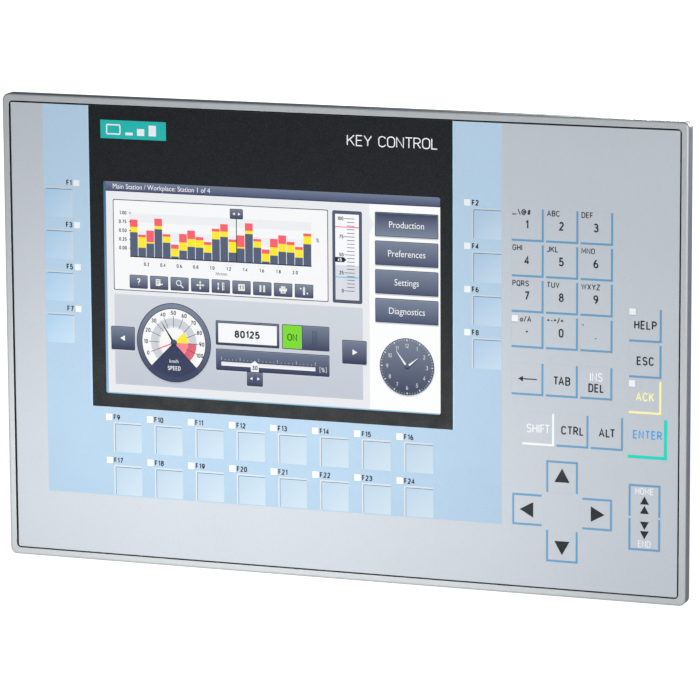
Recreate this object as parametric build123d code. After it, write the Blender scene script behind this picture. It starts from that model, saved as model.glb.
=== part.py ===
from build123d import *
import os

os.makedirs("parts", exist_ok=True)

# A key-operated panel PC front for a control cabinet: a bezel with a membrane keyboard and a 7 inch wide
# display, and a housing behind it that drops through a cabinet cut-out and is clamped by screw clips.
# X is to the right seen from the front, Z is up, Y runs into the cabinet.
# y = 0 is the rear face of the bezel's flange, x = z = 0 is the centre of the cut-out. Millimetres.

# ---- Depths (y of each layer, front to back) ----
frame_front = -6.0
foil_front = -5.5
foil_back = -5.0
cap_back = -4.6
pocket_floor = -3.7
plate_back = -2.6
stem_tip = -1.4
board_front = -0.4
board_back = 1.2
step_back = 20.0
housing_back = 57.0

# ---- Front ----
front_width = 308.0
front_height = 204.0
front_corner = 3.0
front_edge_round = 0.9
rim_width = 3.0
rim_groove = 0.5
rim_groove_shelf = 1.5
rim_groove_floor = -4.3
foil_corner = 1.4
gap = 0.12

# ---- Cut-out, housing and seal ----
housing_width = 280.0
housing_height = 176.0
housing_corner = 3.0
wall = 2.5
cavity_width = housing_width - 2 * wall
cavity_height = housing_height - 2 * wall
seal_outer = (295.0, 191.0)
seal_inner = (286.0, 182.0)
seal_depth = 1.6
seal_play = 0.2

# ---- Display, 152.4 x 91.4 active ----
display_x = -30.75
display_z = 19.2
window_width = 153.5
window_height = 93.0
window_corner = 1.0
pane_width = 167.6
pane_height = 106.6
module_width = 165.0
module_height = 104.0
module_back = 1.3
cell_width = 163.4
cell_height = 102.4

# ---- Keys: cells as left, right, low, high ----
pad_left = 77.55
pad_top = 62.7
pad_pitch = 15.05
pad_key = (14.0, 13.75)
edit_top = -2.6
modifier_left = 82.3
modifier_top = -23.5
side_left = 128.85
side_top = 23.2
side_pitch = 15.15
side_key = 14.0
enter_left = 128.5
enter_top = -23.2
enter_side = 17.0
cursor_left = 77.9
cursor_top = -43.6
cursor_key = (13.9, 13.6)
page_left = 129.0
page_top = -51.2
page_pitch = 14.6
page_key = (13.8, 13.7)
function_key = 13.5
column_top = 62.3
column_pitch = 18.4
left_column = -135.2
right_column = 59.8
row_left = -104.3
row_pitch = 19.1
row_tops = (-39.7, -58.8)
stem_size = 5.0
stem_play = 0.5
stem_limit = 133.5
light_size = 2.8
light_play = 0.05
light_offset = (0.45, 0.5)

# ---- Fastening ----
boss_spots = [(x, z) for x in (-132.5, -45.0, 45.0, 132.5) for z in (-80.8, 80.8)]
boss_radius = 4.5
screw_radius = 1.5
screw_hole = 1.7
screw_head = (3.0, 2.2)
screw_end = -2.0
lug_spots = [(-131.5, -35.0), (-131.5, 45.0), (131.5, -45.0), (131.5, -15.0), (-90.0, 80.0), (90.0, 80.0)]
lug_height = 3.0
lug_screw_end = 12.5
clip_spots = [(angle, along) for angle in (0, 180) for along in (-105.0, -35.0, 35.0, 105.0)]
clamp_gap = 6.0
clip_screw_radius = 2.0
clip_screw_height = 5.0

# ---- Rear step, boards and sockets ----
step_left, step_right, step_low, step_high = -126.0, 126.0, -62.0, 74.0
bracket_front = 1.8
bracket_back = 3.0
main_front = 22.0
main_back = 23.6
socket_y = 31.0
socket_play = 0.3
power_x = -102.0
earth_x = -82.0
network_x = (-60.0, -40.0)
serial_x = -4.5
serial_y = 32.0
jack_spacing = 24.99
jack_hole = 1.25
usb_x = (27.0, 47.0)
audio_x = 66.0
audio_radius = 1.8
card_low, card_high = 10.0, 38.0
card_front, card_back = 24.0, 38.0
plate_z = -6.0


def block(x0, x1, y0, y1, z0, z1):
    """A box between two limits on each axis."""
    return Pos((x0 + x1) / 2, (y0 + y1) / 2, (z0 + z1) / 2) * Box(x1 - x0, y1 - y0, z1 - z0)


def plate(cell, y0, y1, grow=0.0):
    """A box over a (left, right, low, high) cell, grown all round in X and Z."""
    left, right, low, high = cell
    return block(left - grow, right + grow, y0, y1, low - grow, high + grow)


def slab(width, height, corner, y0, y1, x=0.0, z=0.0):
    """A plate with round corners, centred on x, z."""
    plane = Plane(origin=(x, y1, z), x_dir=(1, 0, 0), z_dir=(0, -1, 0))
    return extrude(plane * RectangleRounded(width, height, corner), amount=y1 - y0)


def rod_y(x, z, y0, y1, radius):
    """A round bar along Y."""
    return Pos(x, (y0 + y1) / 2, z) * Rot(90, 0, 0) * Cylinder(radius, y1 - y0)


def rod_z(x, y, z0, z1, radius):
    """A round bar along Z."""
    return Pos(x, y, (z0 + z1) / 2) * Cylinder(radius, z1 - z0)


def hex_z(x, y, z0, z1, across):
    """A hexagonal bar along Z, given its width across flats."""
    profile = Pos(x, y, z0) * RegularPolygon(across / 2, 6, major_radius=False)
    return extrude(profile, amount=z1 - z0)


def hex_y(x, z, y0, y1, across):
    """A hexagonal bar along Y, given its width across flats."""
    plane = Plane(origin=(x, y1, z), x_dir=(1, 0, 0), z_dir=(0, -1, 0))
    return extrude(plane * RegularPolygon(across / 2, 6, major_radius=False), amount=y1 - y0)


def around(x, z, width, height):
    """The cell of a given size centred on x, z."""
    return (x - width / 2, x + width / 2, z - height / 2, z + height / 2)


def cell_at(left, top, width, height):
    """The cell of a given size with its upper left corner at left, top."""
    return (left, left + width, top - height, top)


# ---- The keyboard's layout ----
def pad_cells():
    """The number block and the edit row under it, three columns each."""
    names = [
        ("key_1", "key_2", "key_3"),
        ("key_4", "key_5", "key_6"),
        ("key_7", "key_8", "key_9"),
        ("key_case_minus", "key_0", "key_point"),
        ("key_backspace", "key_tab", "key_insert"),
    ]
    tops = [pad_top - pad_pitch * row for row in range(4)] + [edit_top]
    cells = {}
    for row, top in zip(names, tops):
        for column, name in enumerate(row):
            cells[name] = cell_at(pad_left + pad_pitch * column, top, *pad_key)
    return cells


def command_cells():
    """Shift, control and alt, the enter key, and the column of help, escape and acknowledge."""
    cells = {}
    for column, name in enumerate(("key_shift", "key_ctrl", "key_alt")):
        cells[name] = cell_at(modifier_left + pad_pitch * column, modifier_top, side_key, side_key)
    for row, name in enumerate(("key_help", "key_escape", "key_acknowledge")):
        cells[name] = cell_at(side_left, side_top - side_pitch * row, side_key, side_key)
    cells["key_enter"] = cell_at(enter_left, enter_top, enter_side, enter_side)
    return cells


def cursor_cells():
    """The cursor cross and the two page keys beside it."""
    steps = {"key_up": (1, 0), "key_left": (0, 1), "key_right": (2, 1), "key_down": (1, 2)}
    cells = {}
    for name, (column, row) in steps.items():
        left = cursor_left + 15.0 * column
        cells[name] = cell_at(left, cursor_top - 15.0 * row, *cursor_key)
    cells["key_home"] = cell_at(page_left, page_top, *page_key)
    cells["key_end"] = cell_at(page_left, page_top - page_pitch, *page_key)
    return cells


def function_cells():
    """Four groups of function keys: a column each side of the display and two rows under it."""
    columns = {"function_keys_left": left_column, "function_keys_right": right_column}
    rows = {"function_keys_upper_row": row_tops[0], "function_keys_lower_row": row_tops[1]}
    groups = {}
    for name, left in columns.items():
        tops = [column_top - column_pitch * i for i in range(4)]
        groups[name] = [cell_at(left, top, function_key, function_key) for top in tops]
    for name, top in rows.items():
        lefts = [row_left + row_pitch * i for i in range(8)]
        groups[name] = [cell_at(left, top, function_key, function_key) for left in lefts]
    return groups


single_keys = {**pad_cells(), **command_cells(), **cursor_cells()}
function_groups = function_cells()
lit_keys = ("key_case_minus", "key_help", "key_acknowledge")
key_cells = list(single_keys.values()) + [cell for group in function_groups.values() for cell in group]


def light_cells():
    """The status lights: one at a corner of each function key, one in the corner of each lit key."""
    cells = []
    side, rise = light_offset
    for name, group in function_groups.items():
        for left, right, low, high in group:
            if name == "function_keys_left":
                start = right + side
            else:
                start = left - side - light_size
            cells.append(cell_at(start, high + rise + light_size, light_size, light_size))
    for name in lit_keys:
        left, right, low, high = single_keys[name]
        cells.append(cell_at(left, high, light_size, light_size))
    return cells


lights = light_cells()


def stem_cell(cell, size=stem_size):
    """A key's stem stands at its middle, or further in where the housing's wall would be in the way."""
    left, right, low, high = cell
    x = max(-stem_limit, min(stem_limit, (left + right) / 2))
    return around(x, (low + high) / 2, size, size)


def strip_cells():
    """The four paper strips behind the function keys, each with a pull tab past the last key."""
    tab, inset = 8.0, 0.5
    cells = {}
    for name, group in function_groups.items():
        left = min(c[0] for c in group) + inset
        right = max(c[1] for c in group) - inset
        low = min(c[2] for c in group) + inset
        high = max(c[3] for c in group) - inset
        if name in ("function_keys_left", "function_keys_right"):
            cells[name] = (left, right, low - tab, high)
        else:
            cells[name] = (left, right + tab, low, high)
    return cells


def tab_cell(name, cell):
    """The open end of a strip's slot, where its tab is reached from behind."""
    left, right, low, high = cell
    reach = 6.0
    if name in ("function_keys_left", "function_keys_right"):
        return (left, right, low, low + reach)
    return (right - reach, right, low, high)


strips = strip_cells()
module_cell = around(display_x, display_z, module_width, module_height)


# ---- Front ----
def front_frame():
    """The bezel: a rim round a recess for the foil, pockets for the keys, a seal groove in its flange."""
    frame = slab(front_width, front_height, front_corner, frame_front, 0)
    frame = fillet(frame.faces().sort_by(Axis.Y)[0].edges(), front_edge_round)
    recess = (front_width - 2 * rim_width, front_height - 2 * rim_width)
    frame -= slab(*recess, foil_corner + rim_groove, frame_front - 1, foil_back)
    shelf = slab(*recess, foil_corner + rim_groove, foil_back - 1, rim_groove_floor)
    inner = (recess[0] - 2 * rim_groove_shelf, recess[1] - 2 * rim_groove_shelf)
    frame -= shelf - slab(*inner, foil_corner, foil_back - 2, 0)
    frame -= slab(cavity_width, cavity_height, housing_corner, plate_back, 1)
    groove = slab(*seal_outer, housing_corner + 2, -seal_depth, 1)
    frame -= groove - slab(*seal_inner, housing_corner, -seal_depth - 1, 2)
    for x, z in boss_spots:
        frame += rod_y(x, z, plate_back, 0, boss_radius)
    frame -= plate(around(display_x, display_z, pane_width, pane_height), foil_back - 1, -4.45, 0.2)
    frame -= plate(module_cell, foil_back, 1, 0.3)
    for cell in key_cells:
        frame -= plate(cell, foil_back - 1, pocket_floor, gap)
        frame -= plate(stem_cell(cell), foil_back, 1, stem_play)
    for cell in lights:
        frame -= plate(cell, foil_back - 1, 1, light_play)
    for name, cell in strips.items():
        frame -= plate(cell, -4.05, pocket_floor, 0.2)
        frame -= plate(tab_cell(name, cell), -4.05, 1, 0.2)
    for x, z in boss_spots:
        frame -= rod_y(x, z, screw_end - 0.2, 1, screw_radius + 0.05)
    return frame


def overlay_foil():
    """The printed front foil, with an opening for the display and one for each key and light."""
    foil_width = front_width - 2 * rim_width - 2 * rim_groove
    foil_height = front_height - 2 * rim_width - 2 * rim_groove
    foil = slab(foil_width, foil_height, foil_corner, foil_front, foil_back)
    foil -= slab(window_width, window_height, window_corner, foil_front - 1, 0, display_x, display_z)
    for cell in key_cells:
        foil -= plate(cell, foil_front - 1, 0, gap)
    for cell in lights:
        foil -= plate(cell, foil_front - 1, 0, light_play)
    return foil


def key(cell, lit=False):
    """One key: a flat cap flush with the foil and a stem that reaches through the bezel to its snap dome."""
    shape = plate(cell, foil_front, cap_back) + plate(stem_cell(cell), cap_back, stem_tip)
    if lit:
        left, right, low, high = cell
        corner = cell_at(left, high, light_size, light_size)
        shape -= plate(corner, foil_front - 1, cap_back + 1, gap)
    return shape


def indicator_lenses():
    """The square light guides of the status lights."""
    return Compound([plate(cell, foil_front, plate_back) for cell in lights])


def label_strips():
    """The slide-in strips that carry the function keys' labels."""
    pieces = []
    for name, cell in strips.items():
        strip = plate(cell, -4.0, -3.75)
        for key_cell in function_groups[name]:
            strip -= plate(stem_cell(key_cell), -5, 0, stem_play)
        pieces.append(strip)
    return Compound(pieces)


def panel_seal():
    """The rubber seal in the flange's groove, flush with the flange."""
    outer = [side - 2 * seal_play for side in seal_outer]
    inner = [side + 2 * seal_play for side in seal_inner]
    seal = slab(*outer, housing_corner + 2, 0.05 - seal_depth, 0)
    return seal - slab(*inner, housing_corner, -seal_depth - 1, 1)


# ---- Display ----
def display_window():
    """The clear pane bonded behind the foil's opening."""
    return plate(around(display_x, display_z, pane_width, pane_height), -4.98, -4.5)


def display_frame():
    """The display module's sheet-metal case, open over the picture."""
    case = plate(module_cell, -4.4, module_back)
    case -= plate(around(display_x, display_z, 154.6, 94.2), -5, -3)
    return case - plate(around(display_x, display_z, module_width - 1, module_height - 1), -4.0, 0.9)


def display_cell():
    """The liquid crystal cell and the light guide behind it."""
    cell = around(display_x, display_z, cell_width, cell_height)
    return Compound([plate(cell, -3.95, -2.5), plate(cell, -2.45, 0.75)])


def display_bracket():
    """A steel plate behind the display and key board, with the spacers that carry the main board."""
    bracket = block(-136, 136, bracket_front, bracket_back, -84, 84)
    for x, z in boss_spots:
        bracket -= rod_y(x, z, 0, 5, boss_radius + 0.4)
    for x in (-110, -60, 60, 110):
        bracket -= block(x - 12, x + 12, 0, 5, 8, 54)
    for x in (-112, 0, 112):
        for z in (-50, 62):
            bracket += hex_y(x, z, bracket_back, main_front, 6.0)
    return bracket


# ---- Boards ----
def key_board():
    """The keyboard's circuit board, cut out round the display and round the bosses."""
    board = block(-136, 136, board_front, board_back, -84, 84)
    board -= plate(module_cell, -2, 3, 0.8)
    for x, z in boss_spots:
        board -= rod_y(x, z, -2, 3, boss_radius + 0.4)
    return board


def snap_domes():
    """A metal snap dome on the board under each key's stem."""
    domes = []
    for cell in key_cells:
        left, right, low, high = stem_cell(cell)
        domes.append(rod_y((left + right) / 2, (low + high) / 2, board_front - 0.5, board_front, 3.0))
    return Compound(domes)


def main_board():
    """The processor board that also carries the sockets along its lower edge."""
    return block(-120, 120, main_front, main_back, -59, 70)


def board_components():
    """The larger parts on the main board: processor, memory, flash, chokes, capacitors, coin cell holder."""
    parts = [block(-27, 8, main_back, main_back + 2.4, 22, 57)]
    for i in range(4):
        parts.append(block(22 + 14 * i, 33 + 14 * i, main_back, main_back + 1.2, 34, 48))
    for i in range(3):
        parts.append(block(-112 + 17 * i, -100 + 17 * i, main_back, main_back + 8, -30, -18))
    for i in range(5):
        parts.append(rod_y(-108 + 13 * i, -4, main_back, main_back + 12, 4.5))
    for i in range(6):
        parts.append(block(-20 + 18 * i, -10 + 18 * i, main_back, main_back + 1.4, -20, -10))
    parts.append(rod_y(88, -30, main_back, main_back + 5, 10.5))
    return Compound(parts)


def heat_sink():
    """A finned block on the processor."""
    foot = main_back + 2.4
    sink = block(-45, 25, foot, foot + 4, 10, 68)
    for i in range(12):
        x = -44 + 6.1 * i
        sink += block(x, x + 1.8, foot + 4, foot + 24, 10, 68)
    return sink


# ---- Housing ----
def rear_housing():
    """The tub behind the bezel, with bosses for the screws, clip windows and an opening for the boards."""
    tub = slab(housing_width, housing_height, housing_corner, 0, step_back)
    tub -= slab(cavity_width, cavity_height, 1.0, -1, step_back - wall)
    tub -= block(step_left + 4, step_right - 4, 0, step_back + 1, step_low + 4, step_high - 4)
    for x, z in boss_spots:
        tub += rod_y(x, z, 0, step_back - wall, boss_radius)
        tub -= rod_y(x, z, -1, step_back + 1, screw_hole)
        tub -= rod_y(x, z, step_back - 3, step_back + 1, screw_head[0] + 0.2)
    for x, z in lug_spots:
        tub += rod_y(x, z, lug_screw_end, step_back - wall, 3.5)
        tub -= rod_y(x, z, lug_screw_end - 1, step_back + 1, screw_radius + 0.05)
    for angle, along in clip_spots:
        tub -= clip_place(angle, along) * block(-5, 5, 7.5, 12, -wall - 1, 1)
    return tub


def cover_shell():
    """The rear cover's shell, its screw lugs and the shallow seat of the rating plate."""
    width, height = step_right - step_left, step_high - step_low
    middle = (step_low + step_high) / 2
    shell = slab(width, height, housing_corner, step_back, housing_back, 0, middle)
    shell = fillet(shell.faces().sort_by(Axis.Y)[-1].edges(), 2.0)
    for x, z in lug_spots:
        shell += rod_y(x, z, step_back, step_back + lug_height, 5.0)
        if abs(x) < step_right:
            web = (x - 5, x + 5, z - 7, z)
        elif x < 0:
            web = (x, x + 6, z - 5, z + 5)
        else:
            web = (x - 6, x, z - 5, z + 5)
        shell += plate(web, step_back, step_back + lug_height)
    shell -= slab(width - 2 * wall, height - 2 * wall, 1.0, 5, housing_back - wall, 0, middle)
    for x, z in lug_spots:
        shell -= rod_y(x, z, step_back - 1, step_back + lug_height + 1, screw_hole)
    return shell - slab(96, 46, 1.5, housing_back - 0.5, housing_back + 1, 0, plate_z)


def vents():
    """Slots in the top and rear faces of the rear step."""
    cuts = []
    for i in range(24):
        x = -100 + 8.5 * i
        cuts.append(block(x, x + 3, 28, 50, step_high - wall - 1, step_high + 1))
        cuts.append(block(x, x + 3, housing_back - wall - 1, housing_back + 1, 34, 62))
        cuts.append(block(x, x + 3, housing_back - wall - 1, housing_back + 1, -52, -32))
    return cuts


def socket_cells():
    """The openings in the ledge for the sockets, as left, right, front and back."""
    low_y = main_back - socket_play
    cells = [(power_x - 10.3, power_x + 10.3, low_y, 37.3)]
    for x in network_x:
        cells.append((x - 8.3, x + 8.3, low_y, 37.6))
    cells.append((serial_x - 15.8, serial_x + 15.8, low_y, serial_y + 6.6))
    for x in usb_x:
        cells.append((x - 7.6, x + 7.6, low_y, 31.3))
    cells.append((audio_x - 6.3, audio_x + 6.3, low_y, 35.3))
    return cells


def card_rails():
    """Two lipped rails on the right side that guide the card lock, with a stop at each end."""
    x = step_right
    root, lip, top = x - 0.5, x + 3.0, x + 4.4
    low, high = 6.0, 72.0
    rails = block(root, top, 21.6, 23.4, low, high) + block(root, top, 38.6, 40.4, low, high)
    rails += block(lip, top, 21.6, 25.2, low, high) + block(lip, top, 36.8, 40.4, low, high)
    return rails + block(root, top, 21.6, 40.4, low, 7.6) + block(root, top, 21.6, 40.4, 70.8, high)


def rear_cover():
    """The rear cover with its vents, socket openings, card opening and lock rails."""
    cover = cover_shell()
    for cut in vents():
        cover -= cut
    for left, right, front, back in socket_cells():
        cover -= block(left, right, front, back, step_low - 1, step_low + wall + 1)
    cover -= rod_z(earth_x, socket_y, step_low - 1, step_low + wall + 1, 2.3)
    cover += card_rails()
    card_cell = (card_front - 0.3, card_back + 0.3, card_low - 0.3, card_high + 0.3)
    return cover - block(step_right - wall - 1, step_right + 1, *card_cell)


def screw_y(x, z, end, seat):
    """A cap screw along Y with its head on the seat and its end inside."""
    screw = rod_y(x, z, end, seat, screw_radius)
    screw += rod_y(x, z, seat, seat + screw_head[1], screw_head[0])
    return screw - hex_y(x, z, seat + 0.8, seat + 4, 2.5)


def housing_screws():
    """Eight screws from the tub into the bezel's bosses, and six that hold the rear cover's lugs."""
    screws = [screw_y(x, z, screw_end, step_back - 3) for x, z in boss_spots]
    screws += [screw_y(x, z, lug_screw_end + 0.5, step_back + lug_height) for x, z in lug_spots]
    return Compound(screws)


# ---- Mounting clips ----
def clip_place(angle, along):
    """The frame of a clip on the top (0) or bottom (180) wall."""
    return Rot(0, -angle, 0) * Pos(along, 0, housing_height / 2)


def mounting_clips():
    """Clips hooked into the upper and lower walls, each with a thread for its clamping screw."""
    clips = []
    for angle, along in clip_spots:
        clip = block(-6, 6, 8, 18, 0.1, 4.5) + rod_y(0, clip_screw_height, 8, 18, 4.4)
        clip += block(-4.6, 4.6, 8, 11.9, -4.7, 1)
        clip += block(-4.6, 4.6, 11.5, 15, -4.7, -wall - 0.2)
        clip -= rod_y(0, clip_screw_height, 0, 30, clip_screw_radius + 0.05)
        clips.append(clip_place(angle, along) * clip)
    return Compound(clips)


def clip_screws():
    """The clamping screws: their tips press the flange against the cabinet's sheet."""
    screws = []
    for angle, along in clip_spots:
        screw = rod_y(0, clip_screw_height, clamp_gap, 27, clip_screw_radius)
        screw += rod_y(0, clip_screw_height, 27, 30, 3.5)
        screw -= hex_y(0, clip_screw_height, 28.2, 31, 3.0)
        screws.append(clip_place(angle, along) * screw)
    return Compound(screws)


# ---- Sockets on the ledge, all facing down ----
def power_socket():
    """The supply socket, with three blades."""
    socket = block(power_x - 10, power_x + 10, main_back, 37, step_low, -44)
    socket -= block(power_x - 8.6, power_x + 8.6, 25.6, 35, step_low - 1, -48)
    for i in (-1, 0, 1):
        x = power_x + 5.08 * i
        socket += block(x - 0.4, x + 0.4, 29.3, 31.3, -56, -47)
    return socket


def power_plug():
    """The pluggable supply terminal with its three clamping screws."""
    plug = block(power_x - 8.4, power_x + 8.4, 25.8, 34.8, -76, -57.5)
    plug += block(power_x - 8.4, power_x + 8.4, 25.8, 38.8, -76, step_low - 1.5)
    pieces = []
    for i in (-1, 0, 1):
        x = power_x + 5.08 * i
        plug -= rod_z(x, 30.3, -77, -57, 1.5)
        plug -= rod_y(x, -68, 34, 40, 1.9)
        screw = rod_y(x, -68, 34.2, 38.2, 1.8)
        pieces.append(screw - block(x - 1.4, x + 1.4, 37.6, 39, -68.3, -67.7))
    return Compound([plug] + pieces)


def earth_stud():
    """The M4 earth stud: an inner flange, a hexagon collar and a free end for a ring terminal."""
    stud = rod_z(earth_x, socket_y, -74.5, -58, 2.0)
    stud += hex_z(earth_x, socket_y, step_low - 2.6, step_low, 7.0)
    return stud + rod_z(earth_x, socket_y, step_low + wall, step_low + wall + 1.5, 4.0)


def network_sockets():
    """Two shielded eight-pole sockets."""
    sockets = []
    for x in network_x:
        socket = block(x - 8, x + 8, main_back, 37.3, step_low, -41)
        socket -= block(x - 5.9, x + 5.9, 25.2, 33.7, step_low - 1, -48)
        socket -= block(x - 3.1, x + 3.1, 33, 35.6, step_low - 1, -52)
        for i in range(8):
            pin = x - 3.57 + 1.02 * i
            socket += block(pin - 0.2, pin + 0.2, 25.1, 25.7, -58, -47.5)
        sockets.append(socket)
    return Compound(sockets)


def serial_socket():
    """A nine-pole D-shaped serial socket with its two jack posts."""
    base = block(serial_x - 15.4, serial_x + 15.4, main_back, serial_y + 6.2, step_low, -52)
    upper, lower = 8.4, 7.3
    half = 4.1
    outline = Polyline((-upper, -half), (upper, -half), (lower, half), (-lower, half), close=True)
    shell = extrude(Pos(serial_x, serial_y, step_low - 5.5) * make_face(outline), amount=6)
    base += shell
    for i in range(9):
        row = 0 if i < 5 else 1
        x = serial_x + 2.77 * ((i - 2) if row == 0 else (i - 6.5))
        base -= rod_z(x, serial_y - 1.42 + 2.84 * row, step_low - 6, step_low - 1, 0.55)
    posts = []
    for side in (-1, 1):
        x = serial_x + side * jack_spacing / 2
        post = hex_z(x, serial_y, step_low - 5.0, step_low, 4.8)
        posts.append(post - rod_z(x, serial_y, step_low - 6, step_low - 0.5, jack_hole))
    return Compound([base] + posts)


def usb_sockets():
    """Two type A sockets with their tongues."""
    sockets = []
    for x in usb_x:
        socket = block(x - 7.3, x + 7.3, main_back, 31, step_low, -47)
        socket -= block(x - 6.3, x + 6.3, 24.7, 29.8, step_low - 1, -52)
        sockets.append(socket + block(x - 5.7, x + 5.7, 27.3, 29.2, -60.5, -51))
    return Compound(sockets)


def audio_jack():
    """A 3.5 mm line output."""
    jack = block(audio_x - 6, audio_x + 6, main_back, 35, step_low, -48)
    jack += rod_z(audio_x, 29.5, step_low - 2.0, step_low + 1, 4.0)
    return jack - rod_z(audio_x, 29.5, step_low - 3, -51, audio_radius)


# ---- Memory cards ----
def card_holder():
    """Two card slots that open through the right side."""
    holder = block(95, step_right, card_front, card_back, card_low, card_high)
    for low_y in (26.2, 32.4):
        holder -= block(99, step_right + 1, low_y, low_y + 2.7, card_low + 1.6, card_high - 1.6)
    return holder


def card_lock():
    """The slide that covers the card slots, with a ribbed grip."""
    x = step_right
    lock = block(x + 0.5, x + 2.6, 23.8, 38.2, 8.0, 40.4)
    for i in range(4):
        z = 19 + 3.2 * i
        lock += block(x + 2.4, x + 3.6, 27, 35, z, z + 1.6)
    return lock


# ---- Write every node ----
nodes = {
    "front_frame": front_frame(),
    "overlay_foil": overlay_foil(),
    "indicator_lenses": indicator_lenses(),
    "label_strips": label_strips(),
    "panel_seal": panel_seal(),
    "display_window": display_window(),
    "display_frame": display_frame(),
    "display_cell": display_cell(),
    "display_bracket": display_bracket(),
    "key_board": key_board(),
    "snap_domes": snap_domes(),
    "main_board": main_board(),
    "board_components": board_components(),
    "heat_sink": heat_sink(),
    "rear_housing": rear_housing(),
    "rear_cover": rear_cover(),
    "housing_screws": housing_screws(),
    "mounting_clips": mounting_clips(),
    "clip_screws": clip_screws(),
    "power_socket": power_socket(),
    "power_plug": power_plug(),
    "earth_stud": earth_stud(),
    "network_sockets": network_sockets(),
    "serial_socket": serial_socket(),
    "usb_sockets": usb_sockets(),
    "audio_jack": audio_jack(),
    "card_holder": card_holder(),
    "card_lock": card_lock(),
}
for name, cell in single_keys.items():
    nodes[name] = key(cell, name in lit_keys)
for name, group in function_groups.items():
    nodes[name] = Compound([key(cell) for cell in group])
for name, shape in nodes.items():
    export_step(shape, f"parts/{name}.step")
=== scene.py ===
import math

import bpy
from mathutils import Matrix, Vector


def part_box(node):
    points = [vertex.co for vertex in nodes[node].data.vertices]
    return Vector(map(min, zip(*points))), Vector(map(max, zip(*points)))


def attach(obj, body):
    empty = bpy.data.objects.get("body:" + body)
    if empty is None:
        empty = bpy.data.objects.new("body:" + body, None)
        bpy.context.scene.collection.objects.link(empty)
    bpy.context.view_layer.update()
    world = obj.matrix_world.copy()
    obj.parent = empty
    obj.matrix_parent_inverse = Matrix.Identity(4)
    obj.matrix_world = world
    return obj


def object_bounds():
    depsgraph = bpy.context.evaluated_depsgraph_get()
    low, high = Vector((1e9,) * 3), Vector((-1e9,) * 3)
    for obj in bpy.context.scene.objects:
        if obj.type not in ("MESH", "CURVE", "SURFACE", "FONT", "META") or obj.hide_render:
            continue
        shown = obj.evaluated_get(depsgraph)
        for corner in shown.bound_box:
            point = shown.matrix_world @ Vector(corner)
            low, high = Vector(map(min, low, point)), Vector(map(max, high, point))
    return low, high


# A key-operated panel for a control cabinet. X is to the right seen from the front, Z is up and Y runs into
# the cabinet. Lengths named here are millimetres; MM turns them into the frame's metres.
MM = 0.001
FRONT = ((1, 0, 0), (0, 0, 1))
REAR = ((-1, 0, 0), (0, 0, 1))

# The height of the built-in typeface's capitals at size 1.
CAP_HEIGHT = 0.682
# How far each layer of ink, and of the picture on the display, stands over the one below it.
INK_LAYER = 0.012
PICTURE_LAYER = 0.0045
# How far the skirt of foil round a key reaches past its cap, and how deep it is.
SKIRT = 0.105
SKIRT_DEPTH = 0.35
# The left, right, low and high edges of the foil inside its dark edge of painted shade, and of its two fields.
FOIL_FACE = (-150.2, 150.2, -99.0, 98.2)
BLUE_FIELD = (-135.3, 73.2, -72.5, 99.5)
BLACK_FIELD = (-114.0, 51.8, -33.3, 99.5)
# The front's rim: its width, and how far behind its face the painted shade of the groove and of the sides begins.
RIM = 2.8
GROOVE_SHADE_DEPTH = 0.25
SIDE_SHADE_DEPTH = 0.9
# The width of a cell of the display, and how brightly the picture shines.
CELL = 0.19
PICTURE_GLOW = 1.06

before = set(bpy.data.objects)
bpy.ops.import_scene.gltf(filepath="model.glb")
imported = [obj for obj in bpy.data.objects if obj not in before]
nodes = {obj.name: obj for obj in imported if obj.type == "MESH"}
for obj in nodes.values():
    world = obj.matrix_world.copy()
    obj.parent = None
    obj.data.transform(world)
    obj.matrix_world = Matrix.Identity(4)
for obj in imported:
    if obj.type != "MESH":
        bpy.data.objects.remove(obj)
cad_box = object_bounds()


# ---- Colours ----
def rgb(red, green, blue):
    """A display colour, 0 to 255, as the linear colour that shaders use."""
    return tuple((c / 12.92 if c <= 0.04045 else ((c + 0.055) / 1.055) ** 2.4)
                 for c in (red / 255, green / 255, blue / 255)) + (1.0,)


WHITE = rgb(250, 251, 253)
LEGEND = rgb(20, 24, 30)
KEY_LINE = rgb(96, 150, 190)
KEY_LINE_DARK = rgb(70, 118, 158)
PALE_LINE = rgb(196, 203, 208)
SHIFT_WHITE = rgb(232, 235, 238)
PALE_YELLOW = rgb(250, 240, 165)
TEAL = rgb(0, 208, 188)
ENTER_BLUE = rgb(52, 160, 222)
BADGE = rgb(24, 178, 172)
BORDER_BLUE = rgb(176, 212, 238)
NAVY = rgb(26, 33, 60)
SLATE_LIGHT = rgb(118, 128, 148)
SLATE = rgb(84, 94, 118)
SLATE_DARK = rgb(56, 64, 92)
SCREEN_TEXT = rgb(238, 238, 232)
SCREEN_INK = rgb(40, 46, 58)
RED = rgb(255, 98, 110)
# The blue print at the top of its field and, deeper with painted shade, at its bottom.
BLUE_TOP = rgb(179, 205, 227)
BLUE_BOTTOM = rgb(161, 187, 209)
GRAIN_SHADE = rgb(150, 158, 168)
PLATE_SILVER = rgb(196, 200, 203)
PLATE_INK = rgb(34, 37, 42)
PORT_WHITE = rgb(206, 210, 214)
YELLOW = rgb(255, 236, 40)


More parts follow.
